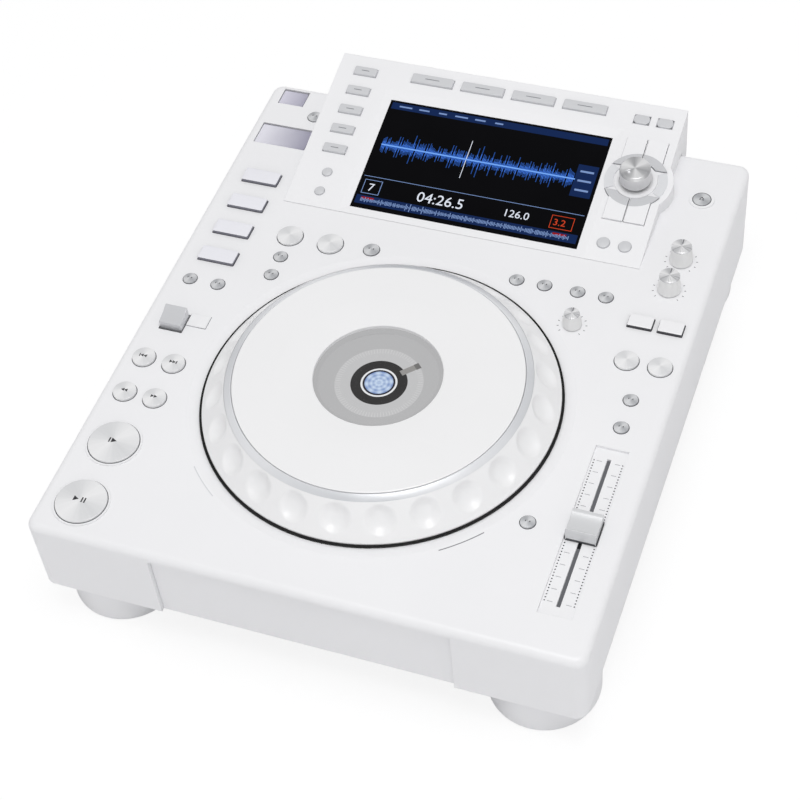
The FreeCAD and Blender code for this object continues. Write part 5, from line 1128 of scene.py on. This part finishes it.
class PLAYER_OT_gaps(bpy.types.Operator):
    """Painted shade round the buttons: dark rings on the deck round each cap, pale grey rings round
    the display keys and a black ring down the wheel's gap, standing in for the shade between a cap
    and its hole.
    """

    bl_idname = "player.gaps"
    bl_label = "Gaps round buttons"

    def execute(self, context):
        sizes, _ = setting()
        # Painted shade: dark, pale grey and black rings stand in for the shade in the gaps.
        dark = satin("gap_dark", tone(70, 71, 76), 0.8)
        black = satin("gap_black", tone(12, 12, 13), 0.9)
        soft = satin("gap_soft", tone(186, 187, 191), 0.8)
        shape = Shape()
        for node in ROUND_STYLES:
            for low, high in solids(node):
                middle = (low + high) / 2
                radius = (high.x - low.x) / 2 - FLANGE + 0.04
                rise = 0.52 if node in ("play_button", "cue_button", "eject_button") else 0.0
                place = shift(middle.x, middle.y, DECK + rise)
                shape.frame(place, circle(radius), circle(radius + sizes.outline), -0.3, 0.025)
        for node in SQUARE_STYLES:
            for low, high in solids(node):
                self.square(shape, Matrix(), low, high, DECK, sizes.outline)
        for node in ("source_buttons", "menu_buttons", "utility_buttons"):
            for low, high in solids(node, SLOPE):
                if abs((high.x - low.x) - (high.y - low.y)) < 0.1:
                    middle = (low + high) / 2
                    radius = (high.x - low.x) / 2 - FLANGE + 0.04
                    shape.frame(SLOPE @ shift(middle.x, middle.y), circle(radius),
                                circle(radius + 0.34), -0.3, 0.025, 1)
                else:
                    self.square(shape, SLOPE, low, high, 0.0, 0.34, 1)
        shape.frame(deck(0, JOG_BACK), circle(WHEEL_RADIUS + 0.12, 288),
                    circle(WHEEL_RADIUS + 1.45, 288), -0.9, -0.3, 2)
        shape.make("button_gaps", [dark, soft, black], CHASSIS)
        return {"FINISHED"}

    def square(self, shape, place, low, high, level, width, finish=0):
        middle = (low + high) / 2
        wide = high.x - low.x - FLANGE * 2 + 0.06
        long = high.y - low.y - FLANGE * 2 + 0.06
        spot = place @ shift(middle.x, middle.y, level)
        shape.frame(spot, rounded(wide, long, 0.8), rounded(wide + width * 2, long + width * 2, 1.0),
                    -0.3, 0.025, finish)


class PLAYER_OT_knobs(bpy.types.Operator):
    """Three tapered knobs with spun tops, and their scales."""

    bl_idname = "player.knobs"
    bl_label = "Knobs"

    def execute(self, context):
        _, colours = setting()
        # Painted reflection on the knob tops: tone(176, 177, 180) is the painted shade of their
        # sectors.
        pearl = spun("knob_pearl", colour(colours.pearl), tone(176, 177, 180), 0.28, 0.3,
                     sectors=3.0, turns=9.0)
        side = satin("knob_side", tone(232, 232, 232), 0.36, 1600, 0.00002, 0.03, 0.0)
        ink = satin("scale_ink", tone(110, 111, 116), 0.7)
        for node, base, top, shaft in (("brake_knob", 6.9, 6.1, 3.0), ("start_knob", 6.9, 6.1, 3.0),
                                       ("jog_feel_knob", 5.8, 4.6, 2.4)):
            low, high, middle = node_box(node)
            spot = shift(middle.x, middle.y)
            shape = Shape()
            shape.lathe(spot, [(0.01, low.z), (shaft + FLANGE, low.z), (shaft + FLANGE, low.z + 1),
                               (shaft, low.z + 1), (shaft, DECK + 0.4), (base - 0.3, DECK + 0.4),
                               (base, DECK + 0.8), (base - 0.15, DECK + 3.0),
                               (top + 0.05, high.z - 1.0)], 72, top, 1)
            rim = [(top + 0.05, high.z - 1.0)]
            rim += [(top - 0.7 * inset, high.z - 0.7 * drop) for inset, drop in bend()]
            rim += [(top * 0.6, high.z), (top * 0.3, high.z), (0.01, high.z)]
            shape.lathe(spot, rim, 72, top)
            shape.prism(spot, bar(0, top * 0.62, 0.7, top * 0.6), high.z - 0.2, high.z + 0.03, 2)
            shape.make(node + "_body", [pearl, side, ink], node, [node])
            dot = pattern(node + "_dot", lambda shape: shape.prism(
                Matrix(), bar(0, 0, 1.1, 0.45), -0.05, 0.03))
            lay(node + "_scale", ring_recipe(), ink, {
                "Piece": dot, "Count": 11, "Radius": (base + 2.6) * MM,
                "First angle": math.radians(-45), "Sweep": math.radians(297)},
                shift(middle.x, middle.y, DECK))
        return {"FINISHED"}


class PLAYER_OT_selector(bpy.types.Operator):
    """Turning selector with its finger dimple."""

    bl_idname = "player.selector"
    bl_label = "Selector"

    def execute(self, context):
        low, high = solids("selector_knob", SLOPE)[0]
        middle = (low + high) / 2
        radius = (high.x - low.x) / 2
        top = high.z
        # Painted reflection on the selector's face: tone(142, 143, 146) is the painted shade of its
        # sectors.
        face = spun("selector_face", tone(232, 232, 233), tone(142, 143, 146), 0.3, 0.3,
                    sectors=3.0, turns=12.0)
        side = satin("selector_side", tone(214, 214, 216), 0.34, 1500, 0.00002, 0.03, 0.15)
        base = satin("selector_base", tone(96, 97, 100), 0.45, metal=0.4)
        spot = SLOPE @ shift(middle.x, middle.y)
        shape = Shape()
        shape.lathe(spot, [(0.01, low.z), (radius - 0.5, low.z), (radius - 0.4, low.z + 0.9)], 96,
                    finish=2)
        shape.lathe(spot, [(radius - 0.4, low.z + 0.9), (radius, low.z + 1.1), (radius, top - 2.2),
                           (radius - 0.2, top - 1.5)], 96, finish=1)
        rows = [(radius - 0.2, top - 1.5), (radius - 0.7, top - 0.7), (radius - 1.4, top - 0.15)]
        steps = 26
        for step in range(steps):
            share = 1 - step / steps
            rows.append(((radius - 1.7) * share, top))
        rows.append((0.01, top))
        faces = shape.lathe(spot, rows, 96, radius)
        into = spot.inverted()
        hollow = Vector((-0.42, -0.9)) * 5.4
        for vert in {vert for face in faces for vert in face.verts}:
            point = into @ vert.co
            reach = (Vector((point.x, point.y)) - hollow).length / 3.1
            if reach < 1 and point.z > top - 0.2:
                point.z -= 1.0 * (1 - reach * reach)
                vert.co = spot @ point
        shape.make("selector_knob_body", [face, side, base], "selector_knob",
                   ["selector_knob"], 42)
        dress("selector_shaft", brushed("screw_steel_shaft", tone(180, 182, 186)))
        return {"FINISHED"}


class PLAYER_OT_slider(bpy.types.Operator):
    """Tempo slider: hollow-topped cap, ticks and dots beside the slot."""

    bl_idname = "player.slider"
    bl_label = "Tempo slider"

    def execute(self, context):
        sizes, _ = setting()
        cap = satin("cap_grey", tone(212, 213, 215), 0.32, 1700, 0.00002, 0.03, 0.1, 0.2)
        dark = satin("cap_dark", tone(58, 59, 63), 0.5)
        low = DECK - 1.1
        high = DECK + 7.3
        half = 8.2
        profile = [(-half, low), (half, low), (half - 0.3, high - 1.4), (half - 1.0, high)]
        for step in range(1, 16):
            y = (half - 1.4) * (1 - step / 8)
            profile.append((y, high - 2.2 + (y / half) ** 2 * 2.0))
        profile += [(-half + 1.0, high), (-half + 0.3, high - 1.4)]
        shape = Shape()
        shape.prism(deck(SLIDER_X, SLIDER_BACK, -DECK) @ SIDEWAYS, profile, -8.55, 8.55)
        spot = deck(SLIDER_X, SLIDER_BACK)
        # Dark bars round the cap's foot are painted shade of the gap round the cap; the stem and base
        # below share this dark finish.
        for side in (-1, 1):
            shape.prism(spot, bar(side * 8.72, -0.3, 0.5, 15.6), -1.3, 0.7, 1)
        shape.prism(spot, bar(0, 8.3, 16.6, 0.8), -1.3, 1.6, 1)
        shape.prism(spot, bar(0, -8.2, 16.2, 0.5), -1.3, 0.2, 1)
        shape.prism(spot, bar(0, 0, 1.4, 4.0), -8.0, -1.0, 1)
        shape.prism(spot, bar(0, 0, 8.8, 10.0), -12.0, -8.0, 1)
        shape.make("slider_cap_body", [cap, dark], "slider_cap", ["slider_cap"], 30,
                   0.45)
        self.scale(sizes)
        # Painted light: the slider unit and its slot glow at a fixed grey though they are no lamp.
        slot = glowing("slider_dark", tone(104, 105, 109), 1.0, 0.05)
        dress("slider_unit", slot)
        return {"FINISHED"}

    def scale(self, sizes):
        ink = satin("tick_ink", tone(150, 151, 155), 0.7)
        dots_ink = satin("dot_ink", tone(58, 59, 63), 0.7)
        recipe = row_recipe()
        floor = deck(SLIDER_X, SLIDER_BACK, -1.5)
        step = TRAVEL * 2 / (sizes.tick_count - 1)
        long_tick = pattern("long_tick", lambda shape: shape.prism(
            Matrix(), bar(0, 0, 3.0, 0.3), 0, 0.04))
        dot = pattern("dot", lambda shape: shape.lathe(
            Matrix(), [(0.42, 0.0), (0.42, 0.04)], 10))
        rows = (
            ("slider_ticks_left", long_tick, -5.2, (sizes.tick_count + 3) // 4, step * 4, ink),
            ("slider_ticks_right", long_tick, 5.2, (sizes.tick_count + 3) // 4, step * 4, ink),
            ("slider_dots_left", dot, -8.1, sizes.tick_count, step, dots_ink),
            ("slider_dots_right", dot, 8.1, sizes.tick_count, step, dots_ink),
        )
        for name, piece, x, count, pitch, finish in rows:
            lay(name, recipe, finish, {
                "Piece": piece, "Count": count, "Start": (x * MM, -TRAVEL * MM, 0),
                "Step": (0, pitch * MM, 0)}, floor)


class PLAYER_OT_lever(bpy.types.Operator):
    """Direction lever, and dark rings round it and its tile: painted shade of their gaps."""

    bl_idname = "player.lever"
    bl_label = "Direction lever"

    def execute(self, context):
        cap = satin("lever_grey", tone(206, 207, 210), 0.3, 1700, 0.00002, 0.03, 0.2, 0.3)
        dark = satin("lever_dark", tone(70, 71, 75), 0.6)
        shape = Shape()
        profile = [(-5.6, DECK - 3), (5.6, DECK - 3), (6.0, DECK + 8.0)]
        for step in range(7):
            share = step / 6
            profile.append((5.6 - 11.2 * share,
                            DECK + 8.2 - 3.2 * share - math.sin(share * math.pi) * 0.5))
        profile.append((-6.0, DECK + 4.8))
        shape.prism(deck(*LEVER, -DECK) @ SIDEWAYS, profile, -7, 7)
        spot = deck(*LEVER)
        shape.prism(spot, bar(0, 0, 14, 6), -7.1, -3, 1)
        shape.make("direction_lever_cap", [cap, dark], "direction_lever",
                   ["direction_lever"], 30, 0.5)
        # Painted shade: dark rings on the deck round the lever and round its tile.
        gaps = Shape()
        gaps.frame(spot, rounded(14.16, 13.86, 0.3), rounded(15.2, 14.9, 0.5), -0.3, 0.03)
        gaps.frame(deck(-125.1, 166.2), rounded(12.42, 9.62, 0.3), rounded(13.1, 10.3, 0.5), -0.3,
                   0.03, 1)
        gaps.make("lever_gaps", [dark, satin("tile_gap", tone(146, 147, 152), 0.7)], CHASSIS)
        return {"FINISHED"}


class PLAYER_OT_covers(bpy.types.Operator):
    """Tinted covers over the stick socket and the card slot."""

    bl_idname = "player.covers"
    bl_label = "Covers"

    def execute(self, context):
        for node, light, dark, half in (("card_door", tone(232, 231, 240), tone(150, 148, 168), 17.4),
                                        ("usb_cover", tone(216, 214, 228), tone(168, 166, 184), 8.5)):
            _, high, middle = node_box(node)
            finish = Finish(node + "_tint", {"Coat Weight": 0.4, "Coat Roughness": 0.08})
            x, _, _ = finish.split(finish.place())
            share = finish.node("ShaderNodeMapRange", None, {
                "Value": x, "From Min": (middle.x - half * 0.8) * MM,
                "From Max": (middle.x + half * 0.9) * MM})
            haze = finish.noise(90, 2.0)
            finish.wear(Base_Color=finish.blend(share * 0.85 + haze * 0.15, light, dark),
                        Roughness=0.2 + haze * 0.1)
            edge = satin(node + "_edge", tone(150, 149, 160), 0.4)
            shape = Shape()
            width = half * 2 - 0.2
            length = {"card_door": 17.0, "usb_cover": 12.2}[node]
            back = high.y - 1.3
            spot = shift(middle.x, back - length / 2, DECK)
            outer = rounded(width, length, 0.9)
            inner = rounded(width - 0.7, length - 0.7, 0.7)
            shape.skin(spot, [at(outer, -1.3), at(outer, -0.35), at(inner, 0.0),
                              at(rounded(width - 2.4, length - 2.4, 0.5), 0.0),
                              at(rounded(width - 3.0, length - 3.0, 0.5), -0.18)], half)
            shape.skin(shift(middle.x, back, DECK - 1.3) @ turned(90, "Y"),
                       [at(circle(1.28, 24), -width / 2), at(circle(1.28, 24), width / 2)], 2, 1)
            shape.make(node + "_plate", [finish.material, edge], node, [node], 20)
        dress("media_ports", satin("port_black", tone(44, 44, 48), 0.55, soft_edge=0.2))
        return {"FINISHED"}


class PLAYER_OT_marks(bpy.types.Operator):
    """Two short arcs printed beside the wheel, and grey lines at the front panel's ends, painted
    shade at the step and joint between the recessed panel and the sides.
    """

    bl_idname = "player.marks"
    bl_label = "Arc marks"

    def execute(self, context):
        pale = satin("mark_pale", tone(214, 215, 218), 0.7)
        ink = satin("mark_ink", tone(128, 129, 133), 0.7)
        shape = Shape()
        for finish, start, end in ((0, 222.0, 234.5), (1, 305.5, 319.0)):
            shape.prism(deck(0, JOG_BACK), sector(113.0, 113.6, start, end), -0.05, 0.025, finish)
        shape.make("arc_marks", [pale, ink], CHASSIS)
        low, high, _ = node_box("front_panel")
        # Grey lines at the front panel's two ends: painted shade of the step where the recessed panel
        # meets the sides, along their joint.
        shade_lines = Shape()
        for x in (low.x + 0.1, high.x - 0.1):
            shade_lines.prism(shift(x, low.y), bar(0, 0.1, 0.45, 0.3), low.z, high.z)
        shade_lines.make("front_seams", [satin("seam_grey", tone(150, 151, 154), 0.7)], CHASSIS)
        return {"FINISHED"}


class PLAYER_OT_rear(bpy.types.Operator):
    """Sockets, inlet, rocker and screws of the rear and the base."""

    bl_idname = "player.rear"
    bl_label = "Rear sockets and screws"

    def execute(self, context):
        black = satin("black_plastic", tone(38, 38, 41), 0.42, 1500, 0.00005, soft_edge=0.3)
        for node in ("rear_jacks", "ac_inlet"):
            dress(node, black)
        dress("power_switch", satin("switch_black", tone(30, 30, 33), 0.34, soft_edge=0.4))
        gold = brushed("jack_gold", tone(214, 184, 112), 0.25)
        red = satin("jack_red", tone(176, 40, 38), 0.45)
        pale = satin("jack_pale", tone(226, 226, 222), 0.45)
        nickel = brushed("jack_nickel", tone(196, 198, 202), 0.25)
        shape = Shape()
        face = REAR_PANEL - HALF_DEPTH
        for index, x in enumerate((-58.0, -44.0, -30.0)):
            spot = shift(x, face, SOCKET_HEIGHT) @ REARWARD
            shape.lathe(spot, [(1.75, 5.0), (4.15, 5.0), (4.2, 8.9), (4.0, 9.05), (1.75, 9.05)], 48,
                        finish=0, ring=True)
            shape.lathe(spot, [(4.1, 0.0), (5.3, 0.0), (5.3, 1.4), (5.0, 1.7), (4.1, 1.7)], 48,
                        finish=(1, 2, 3)[index], ring=True)
        spot = shift(-12.0, face, SOCKET_HEIGHT) @ REARWARD
        shape.lathe(spot, [(1.85, 0.0), (4.9, 0.0), (4.9, 0.8), (4.3, 1.2), (1.85, 1.2)], 48,
                    finish=3, ring=True)
        shape.make("jack_collars", [gold, red, pale, nickel], CHASSIS)
        self.screws()
        return {"FINISHED"}

    def screws(self):
        steel = brushed("screw_steel", tone(170, 172, 177), 0.3)
        head = pattern("screw_head", lambda shape: shape.lathe(
            Matrix(), [(0.01, -4.0), (1.4, -4.0), (1.4, 0.0), (2.8, 0.0), (2.8, 0.7), (2.5, 1.25),
                       (1.9, 1.55), (1.15, 1.6), (1.0, 1.5), (0.9, 0.7), (0.01, 0.7)], 36))
        recipe = row_recipe()
        parts = []
        face = REAR_SCREWS - HALF_DEPTH
        for x in (-148.5, 148.5):
            parts.append((shift(x, face, 30.0) @ REARWARD, (0, -30 * MM, 0)))
        for low, high in solids("screws"):
            middle = (low + high) / 2
            if high.z < 20:
                parts.append((shift(middle.x, middle.y, 12.6) @ turned(180, "X"), (0, 0, 0)))
        joined = bmesh.new()
        for place, step in parts:
            count = 2 if step[1] else 1
            data = recipe.run("screw_part", {"Piece": head, "Finish": steel, "Count": count,
                                             "Step": step}, place)
            joined.from_mesh(data)
        data = bpy.data.meshes.new("screw_heads")
        joined.to_mesh(data)
        joined.free()
        settle("screw_heads", data, [steel], CHASSIS, ["screws"])


class PLAYER_OT_inside(bpy.types.Operator):
    """Drive, roller, sled, board and supply inside the shell."""

    bl_idname = "player.inside"
    bl_label = "Inside"

    def execute(self, context):
        steel = brushed("sheet_steel_inside", tone(186, 188, 192))
        for node in ("drive_frame", "power_supply"):
            dress(node, steel)
        board = Finish("board_green", {"Roughness": 0.45})
        tracks = board.node("ShaderNodeTexVoronoi", {"feature": "DISTANCE_TO_EDGE"}, {
            "Vector": board.place(), "Scale": 190.0})
        lines = board.sum("LESS_THAN", tracks, 0.06)
        board.wear(Base_Color=board.blend(lines * 0.7, tone(18, 78, 48), tone(60, 128, 84)))
        board.bump(lines, 0.2, 0.00004)
        dress("main_board", board.material)
        black = satin("part_black", tone(40, 40, 44), 0.5)
        for node in ("spindle_hub", "pickup_sled"):
            dress(node, black)
        dress("load_roller", satin("roller_rubber", tone(52, 52, 54), 0.8, 700, 0.0002))
        return {"FINISHED"}


class PLAYER_OT_stage(bpy.types.Operator):
    """Floor, soft studio light and the camera."""

    bl_idname = "player.stage"
    bl_label = "Stage"

    def execute(self, context):
        scene = context.scene
        scene.view_settings.view_transform = "Standard"
        self.floor()
        self.world(scene)
        self.lamp("over", (0.2, -0.3, 1.9), (0, 0, 0), 1.0, 13.8)
        self.lamp("front", (0.9, -2.0, 0.35), (0, 0, 0.05), 1.2, 3.0)
        self.camera(scene)
        return {"FINISHED"}

    def floor(self):
        mesh = bpy.data.meshes.new("floor")
        side = 6.0
        mesh.from_pydata([(-side, -side, 0), (side, -side, 0), (side, side, 0), (-side, side, 0)],
                         [], [(0, 1, 2, 3)])
        floor = bpy.data.objects.new("floor", mesh)
        bpy.context.scene.collection.objects.link(floor)
        finish = Finish("floor_pale", {"Roughness": 0.9, "Specular IOR Level": 0.0})
        faint = finish.noise(3.0, 2.0)
        finish.wear(Base_Color=finish.blend(faint, tone(236, 236, 237), tone(240, 240, 241)))
        seen = finish.sum(
            "MAXIMUM", finish.node("ShaderNodeLightPath", None, None, "Is Camera Ray"),
            finish.node("ShaderNodeLightPath", None, None, "Is Transmission Ray"))
        white = finish.node("ShaderNodeEmission", None, {"Strength": 1.06})
        mixed = finish.node("ShaderNodeMixShader", None, {
            0: seen * 0.8, 1: Wire(finish, finish.shader.outputs[0]), 2: white})
        finish.feed(finish.end.inputs[0], mixed)
        mesh.materials.append(finish.material)

    def world(self, scene):
        world = bpy.data.worlds.new("studio")
        world.use_nodes = True
        scene.world = world
        tree = Tree(world.node_tree)
        _, _, up = tree.split(tree.node("ShaderNodeTexCoord", None, None, "Generated"))
        sky = tree.node("ShaderNodeMapRange", None, {
            "Value": up, "From Min": 0.0, "From Max": 0.9, "To Min": 0.68, "To Max": 0.58})
        seen = tree.node("ShaderNodeLightPath", None, None, "Is Camera Ray")
        strength = sky + seen * (1.0 - sky)
        lit = tree.node("ShaderNodeBackground", None, {"Color": (1, 1, 1, 1), "Strength": strength})
        end = tree.tree.nodes.new("ShaderNodeOutputWorld")
        tree.feed(end.inputs[0], lit)

    def lamp(self, name, spot, aim, size, power):
        light = bpy.data.lights.new(name, "AREA")
        light.shape = "DISK"
        light.size = size
        light.energy = power
        lamp = bpy.data.objects.new(name, light)
        lamp.location = spot
        away = Vector(spot) - Vector(aim)
        lamp.rotation_mode = "QUATERNION"
        lamp.rotation_quaternion = away.to_track_quat("Z", "Y")
        bpy.context.scene.collection.objects.link(lamp)

    def camera(self, scene):
        lens = bpy.data.cameras.new("camera")
        lens.lens = 85.41
        lens.sensor_width = 36.0
        lens.clip_start = 0.05
        lens.clip_end = 30.0
        camera = bpy.data.objects.new("camera", lens)
        columns = ((0.94074, 0.32988, -0.07865), (-0.20611, 0.74035, 0.63985),
                   (0.26930, -0.58572, 0.76447))
        turn = Matrix(columns).transposed()
        camera.matrix_world = Matrix.Translation((0.30217, -0.68806, 0.90818)) @ turn.to_4x4()
        scene.collection.objects.link(camera)
        scene.camera = camera


PIECES = (
    PLAYER_OT_stage, PLAYER_OT_shell, PLAYER_OT_feet, PLAYER_OT_wheel, PLAYER_OT_centre,
    PLAYER_OT_screen, PLAYER_OT_round_buttons, PLAYER_OT_keys, PLAYER_OT_display_keys,
    PLAYER_OT_gaps, PLAYER_OT_knobs, PLAYER_OT_selector, PLAYER_OT_slider, PLAYER_OT_lever,
    PLAYER_OT_covers, PLAYER_OT_marks, PLAYER_OT_rear, PLAYER_OT_inside,
)


class PLAYER_PT_pieces(bpy.types.Panel):
    """Lists the pieces and their settings."""

    bl_idname = "PLAYER_PT_pieces"
    bl_label = "Disc player"
    bl_space_type = "VIEW_3D"
    bl_region_type = "UI"
    bl_category = "Player"

    def draw(self, context):
        for piece in PIECES:
            self.layout.operator(piece.bl_idname)
        for group in (context.scene.player_sizes, context.scene.player_colours):
            for name in group.bl_rna.properties.keys():
                if name not in ("rna_type", "name"):
                    self.layout.prop(group, name)


CLASSES = (PlayerSizes, PlayerColours, *PIECES, PLAYER_PT_pieces)


def register():
    for item in CLASSES:
        bpy.utils.register_class(item)
    bpy.types.Scene.player_sizes = bpy.props.PointerProperty(type=PlayerSizes)
    bpy.types.Scene.player_colours = bpy.props.PointerProperty(type=PlayerColours)


def unregister():
    del bpy.types.Scene.player_colours
    del bpy.types.Scene.player_sizes
    for item in reversed(CLASSES):
        bpy.utils.unregister_class(item)


def main():
    register()
    for piece in PIECES:
        group, name = piece.bl_idname.split(".")
        getattr(getattr(bpy.ops, group), name)()


if __name__ == "__main__":
    main()
